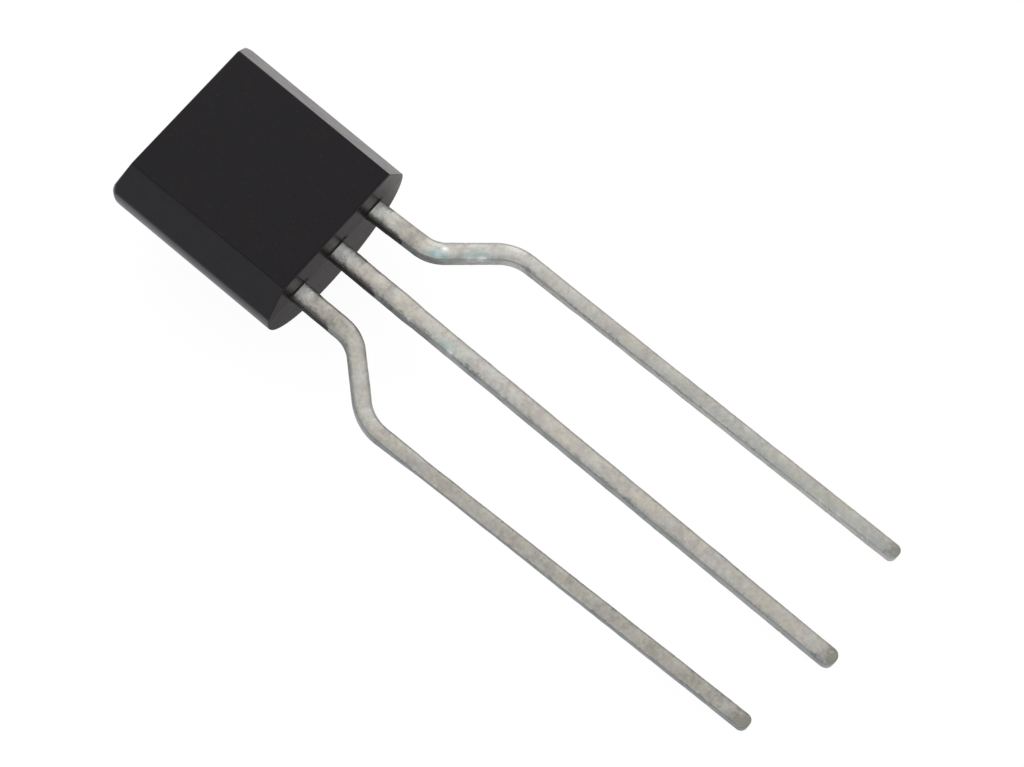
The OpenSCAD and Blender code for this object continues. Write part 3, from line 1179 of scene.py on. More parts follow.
    def _sort_faces(self, mesh: bmesh.types.BMesh) -> None:
        """Gives the faces their finishes and keeps the rims of the ends crisp.

        Args:
            mesh: The finished shape.
        """
        for face in mesh.faces:
            if face.normal.z < -self.facing:
                face.material_index = Skin.END.value
            elif face.normal.y < -self.facing:
                face.material_index = Skin.FACE.value
        limit = math.radians(self.flat_angle)
        for edge in mesh.edges:
            ends = [abs(face.normal.z) for face in edge.link_faces]
            edge.smooth = not (min(ends) > self.facing and edge.calc_face_angle() > limit)

    def _press_mark(self, piece: bpy.types.Object, placement: Placement) -> None:
        """Sinks the ejector pin's mark into the round back.

        Args:
            piece: The body.
            placement: Where the package lies.
        """
        length = 1.0
        middle = self.back_radius - self.mark_depth + length / 2
        mesh = bmesh.new()
        bmesh.ops.create_cone(
            mesh,
            cap_ends=True,
            segments=self.mark_facets,
            radius1=self.mark_diameter / 2,
            radius2=self.mark_diameter / 2,
            depth=length,
            matrix=Matrix.Translation((0.0, middle, self.mark_height))
            @ Matrix.Rotation(math.radians(90), 4, "X"),
        )
        bmesh.ops.transform(mesh, matrix=placement.matrix, verts=mesh.verts[:])
        cutter = as_piece("pin mark cutter", mesh, piece.data.materials)
        carve = piece.modifiers.new("pin mark", "BOOLEAN")
        carve.operation = "DIFFERENCE"
        carve.solver = "EXACT"
        carve.object = cutter
        bpy.context.view_layer.update()
        carved = piece.evaluated_get(bpy.context.evaluated_depsgraph_get())
        old, piece.data = piece.data, bpy.data.meshes.new_from_object(carved)
        piece.modifiers.clear()
        bpy.data.meshes.remove(old)
        bpy.data.objects.remove(cutter)

    def build(
        self, placement: Placement, finishes: dict[Skin, bpy.types.Material]
    ) -> bpy.types.Object:
        """Builds and dresses the body.

        Args:
            placement: Where the package lies.
            finishes: Material of each kind of face.

        Returns:
            The piece that stands for the body.
        """
        mesh = bmesh.new()
        self._round_back(mesh)
        self._trim_sides(mesh)
        self._trim_ends(mesh)
        self._break_edges(mesh)
        settle_normals(mesh)
        self._sort_faces(mesh)
        bmesh.ops.transform(mesh, matrix=placement.matrix, verts=mesh.verts[:])
        piece = as_piece("epoxy_shell", mesh, [finishes[skin] for skin in Skin])
        self._press_mark(piece, placement)
        even_normals(piece)
        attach(piece, ROOT)
        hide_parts("epoxy_body")
        log.info("epoxy_shell: %d faces", len(piece.data.polygons))
        return piece


# -------------------------------------------------------------------- leads


@dataclass(frozen=True)
class PatinaAndPaintedLight:
    """How a lead has weathered along its length, and the light and shade painted on it.

    Attributes:
        films: How far the resin flash reaches down each side, the right of the way down first.
        dull: How dull the lead is at the seating face and at its tip, from 0 to 1.
        painted_root_light: Strength of the light painted on the lead at the seating face.
        painted_root_light_reach: How far down that painted light reaches.
        tip: How much duller it is at its cut tip.
        tip_reach: How far up that reaches.
        roll: How far painted shade spreads from the stamped side onto the face, right of the way
            down.
        smudges: Distance down the lead, reach and strength of each dull spot.
        teal_reflections: The same for each spot of painted teal reflection.
        teal_middle: Share of that painted reflection that is left on the middle line.
        glints: Distance down, place across from -1 to 1, reach and strength of each
            painted glint, a small highlight painted on the lead.
        glint_width: Reach of a painted glint across the lead.
    """

    films: Span = (0.0, 0.0)
    dull: Span = (0.0, 0.0)
    painted_root_light: float = 1.0
    painted_root_light_reach: float = 0.38
    tip: float = 0.7
    tip_reach: float = 0.26
    roll: float = 1.0
    smudges: tuple[Spot, ...] = ()
    teal_reflections: tuple[Spot, ...] = ()
    teal_middle: float = 0.35
    glints: tuple[Glint, ...] = ()
    glint_width: float = 0.24

    @staticmethod
    def _spots(run: float, spots: tuple[Spot, ...]) -> float:
        """Returns the sum of soft spots at a distance down the lead."""
        return sum(strength * bell(run - at, reach) for at, reach, strength in spots)

    def dullness_and_painted_light(self, run: float, length: float) -> float:
        """Works out how dull the lead is, and where light is painted on it near the seating face.

        Args:
            run: Distance down the lead.
            length: Length of the lead.

        Returns:
            How dull it is, less than 0 where light is painted on it.
        """
        share = min(1.0, max(0.0, run / length))
        slope = self.dull[0] + (self.dull[1] - self.dull[0]) * share
        painted_root_light = self.painted_root_light * bell(run, self.painted_root_light_reach)
        tip = self.tip * bell(length - run, self.tip_reach)
        return slope - painted_root_light + tip + self._spots(run, self.smudges)

    def teal_reflection(self, run: float, across: float) -> float:
        """Returns how strong the painted teal reflection is there, most of all on one side."""
        side = max(0.0, self.teal_middle + (1.0 - self.teal_middle) * across)
        return min(1.0, self._spots(run, self.teal_reflections) * side)

    def painted_glint(self, run: float, across: float) -> float:
        """Adds up the painted glints.

        Args:
            run: Distance down the lead.
            across: Place across it, from -1 to 1.

        Returns:
            How strongly a highlight is painted there.
        """
        return sum(
            strength * bell(run - at, reach) * bell(across - place, self.glint_width)
            for at, place, reach, strength in self.glints
        )


@dataclass(frozen=True)
class Unevenness:
    """How stamped and drawn metal departs from its true shape.

    Attributes:
        start: Distance below the seating face where it begins.
        slow: Waves in a mm and height of the slow waves.
        quick: The same for the quick ones.
        nick: Waves in a mm, level above which there is a nick, and depth of the nicks.
        quick_shift: Where in the noise the quick waves are taken.
        nick_shift: The same for the nicks.
        seed_shift: How far each seed moves on in the noise.
    """

    start: float = 0.02
    slow: Span = (1.6, 0.006)
    quick: Span = (7.0, 0.0035)
    nick: Spot = (3.1, 0.42, 0.10)
    quick_shift: Place = (9.0, 4.0, 2.0)
    nick_shift: Place = (2.0, 8.0, 5.0)
    seed_shift: Place = (7.3, 0.0, 3.1)

    def lift(self, place: Vector, seed: float, stamped: float) -> float:
        """Works out how far the metal stands proud of its true shape.

        Args:
            place: The place on the lead.
            seed: Picks the pattern.
            stamped: 1 on the stamped sides and 0 on the faces.

        Returns:
            The height, less than 0 in a hollow.
        """
        place = place + Vector([seed * value for value in self.seed_shift])
        slow = noise.noise(place * self.slow[0]) * self.slow[1]
        quick = noise.noise(place * self.quick[0] + Vector(self.quick_shift)) * self.quick[1]
        level = noise.noise(place * self.nick[0] + Vector(self.nick_shift)) - self.nick[1]
        edge = math.sin(math.pi * min(1.0, max(0.0, stamped)))
        return slow + quick - max(0.0, level) * self.nick[2] * edge


def right_of(way: Vector) -> Vector:
    """Returns the direction to the right of a way in the XZ plane."""
    return Vector((way.z, 0.0, -way.x))


def turn_between(first: Vector, second: Vector) -> float:
    """Returns the turn from one way to another, in radians, positive to the left."""
    cross = first.x * second.z - first.z * second.x
    return math.atan2(cross, first.dot(second))


@dataclass
class Sweep:
    """A flat strip that is drawn out of its own cross-section, ring by ring.

    Attributes:
        place: Middle of the last ring.
        corners: Radius of the corners in front and at the back.
        crown: How far its faces stand out in the middle.
        length: Length of the lead below the seating face.
        run: Distance drawn below the seating face.
        ring_step: Usual distance between rings.
        bend_step: Share of that distance in a bend.
        onset: How stamped the strip is where a corner begins.
        teal_behind: Share of the painted teal reflection that is left behind the front.
        twist: Turn of the last ring about the way, in radians.
        verts: Points of the last ring.
        face: The face that closes the strip.
        layer: The numbers that the mesh carries.
    """

    mesh: bmesh.types.BMesh
    place: Vector
    way: Vector
    width: float
    thickness: float
    corners: Span
    crown: float
    length: float
    patina_and_painted_light: PatinaAndPaintedLight
    run: float
    ring_step: float = 0.07
    bend_step: float = 0.6
    bend_rings: int = 4
    corner_steps: int = 4
    tip_rings: int = 6
    tip_rub: float = 0.3
    onset: float = 0.2
    teal_behind: float = 0.3
    twist: float = 0.0
    rings: int = 0
    verts: list[bmesh.types.BMVert] = field(init=False)
    face: bmesh.types.BMFace = field(init=False)
    layer: dict[Mask, Any] = field(init=False)

    def __post_init__(self) -> None:
        """Makes the first section across the way."""
        layers = self.mesh.verts.layers.float
        self.layer = {mask: layers.new(mask.value) for mask in Mask}
        made = bmesh.ops.create_grid(self.mesh, x_segments=1, y_segments=1, size=0.5)["verts"]
        bmesh.ops.scale(self.mesh, vec=(self.width, self.thickness, 1.0), verts=made)
        front = [vert for vert in made if vert.co.y < 0]
        rear = [vert for vert in made if vert.co.y > 0]
        for pair, radius in zip((front, rear), self.corners):
            soften(self.mesh, pair, Round(radius, self.corner_steps), "VERTICES")
        self.face = next(iter(self.mesh.faces))
        corner = max(self.corners)
        long_edges = [edge for edge in self.face.edges if edge.calc_length() > corner]
        bmesh.ops.subdivide_edges(self.mesh, edges=long_edges, cuts=2)
        self.verts = list(self.face.verts)
        for vert in self.verts:
            hand = 2 * vert.co.x / self.width
            vert[self.layer[Mask.STAMPED]] = self._stamped_share(vert.co)
            vert[self.layer[Mask.HAND]] = hand
            vert[self.layer[Mask.FRONT]] = max(0.0, -2 * vert.co.y / self.thickness)
            vert.co.y *= 1.0 + self.crown * (1.0 - hand**2) * 2 / self.thickness
        bmesh.ops.transform(self.mesh, matrix=self.section(), verts=self.verts)

    def _stamped_share(self, place: Vector) -> float:
        """Tells the stamped sides of the section from its faces.

        Args:
            place: A place on the section's outline.

        Returns:
            1 on the stamped sides and 0 on the faces.
        """
        radius = self.corners[0] if place.y < 0 else self.corners[1]
        along = (abs(place.x) - self.width / 2 + radius) / radius
        through = (abs(place.y) - self.thickness / 2 + radius) / radius
        hair = 1e-4
        if through <= hair:
            return 1.0
        if along <= hair:
            return self.onset * max(0.0, 1.0 + along)
        return self.onset + (1.0 - self.onset) * along**2 / (along**2 + through**2)

    def section(self) -> Matrix:
        """Returns the frame of the present section: across, back and onward."""
        across = Matrix.Rotation(self.twist, 3, self.way) @ right_of(self.way)
        back = self.way.cross(across)
        turn = Matrix((across, back, self.way)).transposed().to_4x4()
        return Matrix.Translation(self.place) @ turn

    def _extrude(self) -> None:
        """Adds a ring in the place of the last one."""
        inner = self.face if self.rings else None
        made = bmesh.ops.extrude_face_region(self.mesh, geom=[self.face])["geom"]
        self.face = next(item for item in made if isinstance(item, bmesh.types.BMFace))
        self.verts = [item for item in made if isinstance(item, bmesh.types.BMVert)]
        if inner is not None:
            bmesh.ops.delete(self.mesh, geom=[inner], context="FACES_ONLY")
        self.rings += 1

    def _onward(self, move: Vector) -> None:
        """Moves the last ring on."""
        bmesh.ops.translate(self.mesh, vec=move, verts=self.verts)
        self.place = self.place + move

    def _shape(self, width: float, depth: float, twist: float, rubbed: float) -> None:
        """Gives the last ring its shape and its masks.

        Args:
            width: Its width.
            depth: Share of its thickness that it keeps.
            twist: Its turn about the way, in radians.
            rubbed: How rubbed it is.
        """
        bmesh.ops.scale(
            self.mesh,
            vec=(width / self.width, depth, 1.0),
            space=self.section().inverted(),
            verts=self.verts,
        )
        self.width = width
        change = twist - self.twist
        if change:
            turn = Matrix.Rotation(change, 3, self.way)
            bmesh.ops.rotate(self.mesh, cent=self.place, matrix=turn, verts=self.verts)
            self.twist = twist
        # Dullness, below 0 where light is painted near the seating face.
        dull = self.patina_and_painted_light.dullness_and_painted_light(self.run, self.length)
        for vert in self.verts:
            hand, front = vert[self.layer[Mask.HAND]], vert[self.layer[Mask.FRONT]]
            # The painted teal reflection is strongest on the front.
            teal_depth = self.teal_behind + (1.0 - self.teal_behind) * front
            masks = {
                Mask.RUBBED: rubbed,
                # Painted shade on the right of the way down.
                Mask.ROLLED_SHADE: self.patina_and_painted_light.roll * hand,
                Mask.REACH: self.patina_and_painted_light.films[0 if hand > 0 else 1] - self.run,
                Mask.DULL_AND_PAINTED_LIGHT: dull,
                Mask.TEAL_SHEEN: self.patina_and_painted_light.teal_reflection(self.run, hand) * teal_depth,
                # Painted glints, on the front of the lead.
                Mask.GLINT: self.patina_and_painted_light.painted_glint(self.run, hand) * front**2,
            }
            for mask, value in masks.items():
                vert[self.layer[mask]] = value

    def straight(
        self,
        length: float,
        width: float | None = None,
        twist: float | None = None,
        step: float = 0.0,
    ) -> None:
        """Draws a straight stretch.

        Args:
            length: Its length.
            width: The width at its end, or None to keep it.
            twist: The twist at its end in radians, or None to keep it.
            step: The distance between rings, or 0 for the usual one.
        """
        count = max(1, round(length / (step or self.ring_step)))
        start = (self.width, self.twist)
        goal = (start[0] if width is None else width, start[1] if twist is None else twist)
        for ring in range(1, count + 1):
            share = ring / count
            self._extrude()
            self._onward(self.way * length / count)
            self.run += length / count
            values = [first + (last - first) * share for first, last in zip(start, goal)]
            self._shape(values[0], 1.0, values[1], 0.0)

    def bend(self, turn: float, radius: float, width: float) -> None:
        """Draws a bend in the XZ plane.

        Args:
            turn: The turn in radians, positive to the left.
            radius: Radius of the centreline.
            width: The width at its end.
        """
        length = abs(turn) * radius
        count = max(self.bend_rings, round(length / (self.ring_step * self.bend_step)))
        start = self.width
        centre = self.place - math.copysign(radius, turn) * right_of(self.way)
        step = Matrix.Rotation(-turn / count, 3, "Y")
        for ring in range(1, count + 1):
            share = ring / count
            self._extrude()
            bmesh.ops.rotate(self.mesh, cent=centre, matrix=step, verts=self.verts)
            self.place = centre + step @ (self.place - centre)
            self.way = step @ self.way
            self.run += length / count
            width_here = start + (width - start) * share
            self._shape(width_here, 1.0, self.twist, math.sin(math.pi * share))

    def tip(self, radius: float, burr: float) -> None:
        """Draws the cut end, with rounded corners.

        Args:
            radius: Radius of the corners, seen at the face of the strip.
            burr: How far the last rings are drawn in towards their middle plane.
        """
        full = self.width
        step = math.pi / 2 / self.tip_rings
        for ring in range(1, self.tip_rings + 1):
            angle = step * ring
            advance = radius * (math.sin(angle) - math.sin(angle - step))
            self._extrude()
            self._onward(self.way * advance)
            self.run += advance
            width = full - 2 * radius * (1 - math.cos(angle))
            depth = 1.0 - (burr if ring >= self.tip_rings - 1 else 0.0)
            self._shape(width, depth, self.twist, self.tip_rub)


@dataclass
class Lead:
    """One lead of the frame, with its plate inside the resin.

    Attributes:
        node: Name of the node that it stands for.
        root_x: Place across the package at the seating face.
        root_width: Width of the bare metal there.
        coat: Thickness of the plating on each side.
        corners: Radius of the strip's corners in front and at the back.
        crown: How far its faces stand out in the middle.
        cut_length: Length below the seating face, along the metal.
        burr: How far the tip is drawn in.
        plate_offset: How far the plate stands beside the root.
        plate_overlap: How far the strip reaches into the plate.
        inner_step: Distance between rings inside the resin.
        frame_top: Height of the plate's top.
        rear_lean: Lean towards the back, in degrees.
        seed: Picks the unevenness.
    """

    node: str
    root_x: float = 0.0
    root_width: float = 0.44
    leg_width: float = 0.41
    thickness: float = 0.39
    coat: float = 0.01
    corners: Span = (0.09, 0.03)
    crown: float = 0.006
    patina_and_painted_light: PatinaAndPaintedLight = PatinaAndPaintedLight()
    uneven: Unevenness = Unevenness()
    cut_length: float = 14.12
    tip_radius: float = 0.155
    burr: float = 0.06
    plate_width: float = 1.5
    plate_height: float = 1.9
    plate_offset: float = 0.0
    plate_edge: Round = Round(0.12, 4)
    plate_overlap: float = 0.3
    inner_step: float = 0.4
    frame_top: float = 3.4
    rear_lean: float = 0.0
    seed: float = 1.0

    def root_way(self) -> Vector:
        """Returns the way down at the seating face."""
        return DOWN.copy()

    def coated(self, width: float) -> float:
        """Returns the width of bare metal with its plating on both sides."""
        return width + 2 * self.coat

    def _draw(self, sweep: Sweep) -> None:
        """Draws the part below the seating face."""
        raise NotImplementedError

    def _plate(self, mesh: bmesh.types.BMesh) -> None:
        """Adds the die paddle or bonding post.

        Args:
            mesh: The mesh of the lead.
        """
        before = set(mesh.verts)
        made = bmesh.ops.create_cube(mesh, size=1.0)["verts"]
        size = (self.plate_width, self.thickness, self.plate_height)
        bmesh.ops.scale(mesh, vec=size, verts=made)

        def through(edge: bmesh.types.BMEdge) -> bool:
            """Tells whether an edge of the plate runs through its thickness."""
            first, last = edge.verts
            return first not in before and near(abs(first.co.y - last.co.y), self.thickness)

        soften(mesh, edges_where(mesh, through), self.plate_edge)
        place = (self.root_x + self.plate_offset, 0.0, self.frame_top - self.plate_height / 2)
        added = [vert for vert in mesh.verts if vert not in before]
        bmesh.ops.translate(mesh, vec=place, verts=added)

    def _weather(self, mesh: bmesh.types.BMesh) -> None:
        """Makes the metal below the seating face slightly uneven, with a few nicks.

        Args:
            mesh: The mesh of the lead.
        """
        stamped = mesh.verts.layers.float[Mask.STAMPED.value]
        for vert in mesh.verts:
            if vert.co.z <= -self.uneven.start:
                vert.co += vert.normal * self.uneven.lift(vert.co, self.seed, vert[stamped])

    def build(self, placement: Placement, metal: bpy.types.Material) -> bpy.types.Object:
        """Builds and dresses the lead.

        Args:
            placement: Where the package lies.
            metal: Material of the lead.

        Returns:
            The piece that stands for the lead.
        """
        mesh = bmesh.new()
        top = self.frame_top - self.plate_height + self.plate_overlap
        sweep = Sweep(
            mesh,
            place=Vector((self.root_x, 0.0, top)),
            way=DOWN.copy(),
            width=self.coated(self.root_width),
            thickness=self.thickness,
            corners=self.corners,
            crown=self.crown,
            length=self.cut_length,
            patina_and_painted_light=self.patina_and_painted_light,
            run=-top,
        )
        sweep.straight(top, step=self.inner_step)
        self._draw(sweep)
        settle_normals(mesh)
        self._weather(mesh)
        shear = Matrix.Identity(4)
        shear[1][2] = -math.tan(math.radians(self.rear_lean))
        below = [vert for vert in mesh.verts if vert.co.z < -ON_PLANE]
        bmesh.ops.transform(mesh, matrix=shear, verts=below)
        self._plate(mesh)
        settle_normals(mesh)
        bmesh.ops.transform(mesh, matrix=placement.matrix, verts=mesh.verts[:])
        piece = as_piece(self.node + "_tinned", mesh, [metal])
        even_normals(piece)
        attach(piece, ROOT)
        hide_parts(self.node)
        log.info("%s: %d faces", piece.name, len(piece.data.polygons))
        return piece


@dataclass
class MiddleLead(Lead):
    """The straight collector lead, which carries the die paddle."""

    root_length: float = 2.1
    taper: float = 0.3
    narrowing: float = 0.01

    def _draw(self, sweep: Sweep) -> None:
        """Draws the root, the taper and the leg.

        Args:
            sweep: The strip, drawn down to the seating face.
        """
        leg = self.coated(self.leg_width)
        rest = self.cut_length - self.root_length - self.taper - self.tip_radius
        sweep.straight(self.root_length)
        sweep.straight(self.taper, width=leg)
        sweep.straight(rest, width=leg - self.narrowing)
        sweep.tip(self.tip_radius, self.burr)


@dataclass
class OuterLead(Lead):
    """An outer lead, formed out to the wider pitch.

    Attributes:
        formed_pitch: Distance from the middle lead below the jog.
        upper_drop: Drop from the seating face to the upper corner.
        jog_drop: Drop from there to the lower corner.
        seat_radius: Radius of the slight bend at the seating face.
        root_lean: Outward lean of the root, in degrees.
        leg_lean: The same for the leg.
        jog_width: Width of the bare metal at the upper bend.
        twist_share: Share of the leg that takes the upper twist.
        twist_top: Twist below that share, in degrees.
        twist_tip: Twist at the tip.
    """

    side: Side = Side.EMITTER
    leg_width: float = 0.35
    plate_width: float = 0.8
    plate_height: float = 0.9
    formed_pitch: float = 2.58
    upper_drop: float = 1.63
    jog_drop: float = 1.39
    upper_radius: float = 0.9
    lower_radius: float = 1.15
    seat_radius: float = 0.4
    root_lean: float = 0.0
    leg_lean: float = 0.0
    jog_width: float = 0.40
    twist_share: float = 0.15
    twist_top: float = 0.0
    twist_tip: float = 0.0

    def _down(self, lean: float) -> Vector:
        """Returns the way down a stretch that leans outward."""
        angle = math.radians(lean)
        return Vector((self.side.value * math.sin(angle), 0.0, -math.cos(angle)))

    def root_way(self) -> Vector:
        """Returns the way down at the seating face."""
        return self._down(self.root_lean)

    def _draw(self, sweep: Sweep) -> None:
        """Draws the root, the jog and the leg.

        Args:
            sweep: The strip, drawn down to the seating face.
        """
        root, leg = self.root_way(), self._down(self.leg_lean)
        seat = sweep.place.copy()
        upper = seat + root * self.upper_drop / math.cos(math.radians(self.root_lean))
        lower = Vector((self.side.value * self.formed_pitch, 0.0, upper.z - self.jog_drop))
        jog = (lower - upper).normalized()
        first, second = turn_between(root, jog), turn_between(jog, leg)
        first_tangent = self.upper_radius * math.tan(abs(first) / 2)
        second_tangent = self.lower_radius * math.tan(abs(second) / 2)
        saving = 2 * first_tangent - self.upper_radius * abs(first)
        saving += 2 * second_tangent - self.lower_radius * abs(second)
        corners = (upper - seat).length + (lower - upper).length
        rest = self.cut_length - corners + saving - second_tangent - self.tip_radius
        if self.root_lean:
            sweep.bend(turn_between(sweep.way, root), self.seat_radius, sweep.width)
        sweep.straight((upper - sweep.place).length - first_tangent)
        sweep.bend(first, self.upper_radius, self.coated(self.jog_width))
        sweep.straight((lower - upper).length - first_tangent - second_tangent)
        sweep.bend(second, self.lower_radius, self.coated(self.leg_width))
        sweep.straight(rest * self.twist_share, twist=math.radians(self.twist_top))
        sweep.straight(rest * (1.0 - self.twist_share), twist=math.radians(self.twist_tip))
        sweep.tip(self.tip_radius, self.burr)


# --------------------------------------------------------------- lead flash


@dataclass
class LeadFlash:
    """Thin resin flash on the stamped sides of the leads, and a fine collar.

    A wave is the number of waves in the length of the noise and their height.

    Attributes:
        depth: Width of a film, through the sheet.
        bite: How deep a film sits in the metal.
        margin: How far a film reaches up into the body.
        cells: Number of faces across a film and along it.
        end_wave: Slow wave of a film's ragged end.
        end_ripple: Quick wave of the same.
        side_wave: Wave of its sides.
        skin_wave: Wave of its thickness.
        thinning: Length over which it thins towards its end.
        least: Least share of the thickness that it thins to.
        smear_size: Width, depth and height of a smear on the seating face.
        smear_swing: How much its width varies.
        smear_wave: Wave of its outline.
        smear_shift: How far beside the bare root its middle lies.
        smear_rise: How far a smear stands out of the seating face.
        smear_inset: How far it lies behind the front of the sheet.
        collar_drop: How far a collar reaches below the seating face.
        collar_rise: How far it stands out round the lead.
        collar_root: How far it reaches up into the body.
        collar_edge: Round of its edges.
    """

    thickness: float = 0.012
    depth: float = 0.2
    bite: float = 0.012
    margin: float = 0.08
    cells: tuple[int, int] = (8, 26)
    end_wave: Span = (5.0, 0.10)
    end_ripple: Span = (16.0, 0.04)
    side_wave: Span = (9.0, 0.06)
    skin_wave: Span = (14.0, 0.35)
    thinning: float = 0.25
    least: float = 0.15
    smear_size: Place = (0.07, 0.07, 0.02)
    smear_swing: float = 0.05
    smear_wave: Span = (18.0, 0.5)
    smear_shift: float = 0.02
    smear_rise: float = 0.004
    smear_inset: float = 0.03
    root_width: float = 0.44
    sheet: float = 0.39
    collar_drop: float = 0.022
    collar_rise: float = 0.012
    collar_root: float = 0.1
    collar_edge: Round = Round(0.011, 2)

    def _film(
        self,
        mesh: bmesh.types.BMesh,
        root: Vector,
        way: Vector,
        edge: Vector,
        length: float,
        seed: float,
    ) -> None:
        """Adds one film.

        Args:
            mesh: The mesh it is added to.
            root: The side of the lead at the seating face.
            way: The way down the lead.
            edge: The way out of the lead's side.
            length: Length of the film.
            seed: Picks its ragged edge.
        """
        known = set(mesh.verts)
        x_cells, y_cells = self.cells
        made = bmesh.ops.create_grid(mesh, x_segments=x_cells, y_segments=y_cells, size=0.5)
        across = way.cross(edge)
        for vert in made["verts"]:
            share = 0.5 - vert.co.y
            wave = Vector((vert.co.x * self.end_wave[0], seed, share * 2.0))
            ripple = Vector((vert.co.x * self.end_ripple[0], seed + 3.0, 0.0))
            ragged = noise.noise(wave) * self.end_wave[1]
            ragged += noise.noise(ripple) * self.end_ripple[1]
            down = -self.margin + (length + self.margin + ragged) * share
            swing = noise.noise(Vector((seed, share * self.side_wave[0], 0.0)))
            side = vert.co.x * self.depth * (1.0 + self.side_wave[1] * swing)
            vert.co = root + way * down + across * side - edge * self.bite
        skin = [face for face in mesh.faces if not known & set(face.verts)]
        out = bmesh.ops.extrude_face_region(mesh, geom=skin, use_keep_orig=True)["geom"]
        lifted = [item for item in out if isinstance(item, bmesh.types.BMVert)]
        for vert in lifted:
            drop = (vert.co - root).dot(way)
            fade = min(1.0, max(self.least, (length - drop) / self.thinning))
            swing = noise.noise(vert.co * self.skin_wave[0] + Vector((seed, 0.0, 0.0)))
            rough = 1.0 + self.skin_wave[1] * swing
            vert.co += edge * (self.bite + self.thickness * fade * rough)
        added = [face for face in mesh.faces if not known & set(face.verts)]
        bmesh.ops.recalc_face_normals(mesh, faces=added)

    def _smear(self, mesh: bmesh.types.BMesh, place: Vector, seed: float) -> None:
        """Adds a flat smear of resin on the end face beside a lead.

        Args:
            mesh: The mesh it is added to.
            place: The side of the lead at the seating face.
            seed: Picks its outline.
        """
        made = bmesh.ops.create_icosphere(mesh, subdivisions=3, radius=1.0)["verts"]
        width, depth, height = self.smear_size
        width += self.smear_swing * noise.noise(Vector((seed, 0.5, 0.5)))
        bmesh.ops.scale(mesh, vec=(width, depth, height), verts=made)
        for vert in made:
            swing = noise.noise(vert.co * self.smear_wave[0] + Vector((seed, 0.0, 0.0)))
            vert.co *= 1.0 + self.smear_wave[1] * swing
        shift = Vector((0.0, self.smear_inset - self.sheet / 2, self.smear_rise))
        bmesh.ops.translate(mesh, vec=place + shift, verts=made)

    def _collar(self, mesh: bmesh.types.BMesh, root_x: float) -> None:
        """Adds a fine dark rim round a lead where it leaves the body.

        Args:
            mesh: The mesh it is added to.
            root_x: Place of the lead across the package.
        """
        known = set(mesh.verts)
        made = bmesh.ops.create_cube(mesh, size=1.0)["verts"]
        rise = 2 * self.collar_rise
        height = self.collar_drop + self.collar_root
        size = (self.root_width + rise, self.sheet + rise, height)
        bmesh.ops.scale(mesh, vec=size, verts=made)
        edges = edges_where(mesh, lambda edge: edge.verts[0] not in known)
        soften(mesh, edges, self.collar_edge)
        place = (root_x, 0.0, (self.collar_root - self.collar_drop) / 2)
        added = [vert for vert in mesh.verts if vert not in known]
        bmesh.ops.translate(mesh, vec=place, verts=added)

    def build(
        self, placement: Placement, material: bpy.types.Material, leads: Iterable[Lead]
    ) -> bpy.types.Object:
        """Builds and dresses the flash of all leads.

        Args:
            placement: Where the package lies.
            material: Material of the flash.
            leads: The leads, which know the lengths of their films.

        Returns:
            The piece.
        """
        mesh = bmesh.new()
        for number, lead in enumerate(leads):
            way = lead.root_way()
            seat = Vector((lead.root_x, 0.0, 0.0))
            for hand, length in zip((1.0, -1.0), lead.patina_and_painted_light.films):
                edge = right_of(way) * hand
                seed = 3.0 * number + hand
                root = seat + edge * (self.root_width / 2 + lead.coat)
                self._film(mesh, root, way, edge, length, seed)
                self._smear(mesh, seat + edge * (self.root_width / 2 + self.smear_shift), seed)
            self._collar(mesh, lead.root_x)
        bmesh.ops.transform(mesh, matrix=placement.matrix, verts=mesh.verts[:])
        bmesh.ops.recalc_face_normals(mesh, faces=mesh.faces[:])
        for face in mesh.faces:
            face.smooth = True
        piece = as_piece("resin_flash", mesh, [material])
        even_normals(piece)
        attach(piece, ROOT)
        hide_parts("epoxy_body")
        log.info("resin_flash: %d faces", len(piece.data.polygons))
        return piece


# ------------------------------------------------------------------- studio


@dataclass(frozen=True)
class StudioCamera:
    """A long lens that looks down at the flat face.

    Attributes:
        aim: What it points at, in the package frame.
        swing: How far it stands to the emitter side of the flat face, in degrees.
        dip: How far it stands below the flat face, in degrees.
        roll: Its turn about its own line of sight, in degrees.
        clip: Nearest and farthest that it sees, in metres.
    """

    aim: Place = (0.0455, -0.6033, -4.949)
    swing: float = 15.844
    dip: float = 6.607
    roll: float = 50.43
    distance: float = 70.0
    lens: float = 113.63
    sensor: float = 36.0
    clip: Span = (0.002, 20.0)

    def build(self, placement: Placement) -> None:
        """Sets the camera up and makes it the scene's.

        Args:
            placement: Where the package lies.
        """
        swing, dip, roll = (math.radians(value) for value in (self.swing, self.dip, self.roll))
        reach = math.cos(dip)
        back = Vector((-math.sin(swing) * reach, -math.cos(swing) * reach, -math.sin(dip)))
        level = (UP - back * back.z).normalized()
        across = level.cross(back)
        right = across * math.cos(roll) - level * math.sin(roll)
        up = across * math.sin(roll) + level * math.cos(roll)
        data = bpy.data.cameras.new("camera")
        data.lens = self.lens
        data.sensor_width = self.sensor
        data.clip_start, data.clip_end = self.clip
        camera = bpy.data.objects.new("camera", data)
        turn = Matrix([placement.way(way) for way in (right, up, back)]).transposed().to_4x4()
        place = placement.point(Vector(self.aim) + back * self.distance)
        camera.matrix_world = Matrix.Translation(place) @ turn
        bpy.context.scene.collection.objects.link(camera)
        bpy.context.scene.camera = camera
        log.info("camera at %s", [round(value, 4) for value in place])


@dataclass(frozen=True)
class Lamp:
    """A soft round lamp: its name, place, width of its disc in metres, and power in watts."""

    name: str
    place: Place
    power: float
    size: float = 0.28


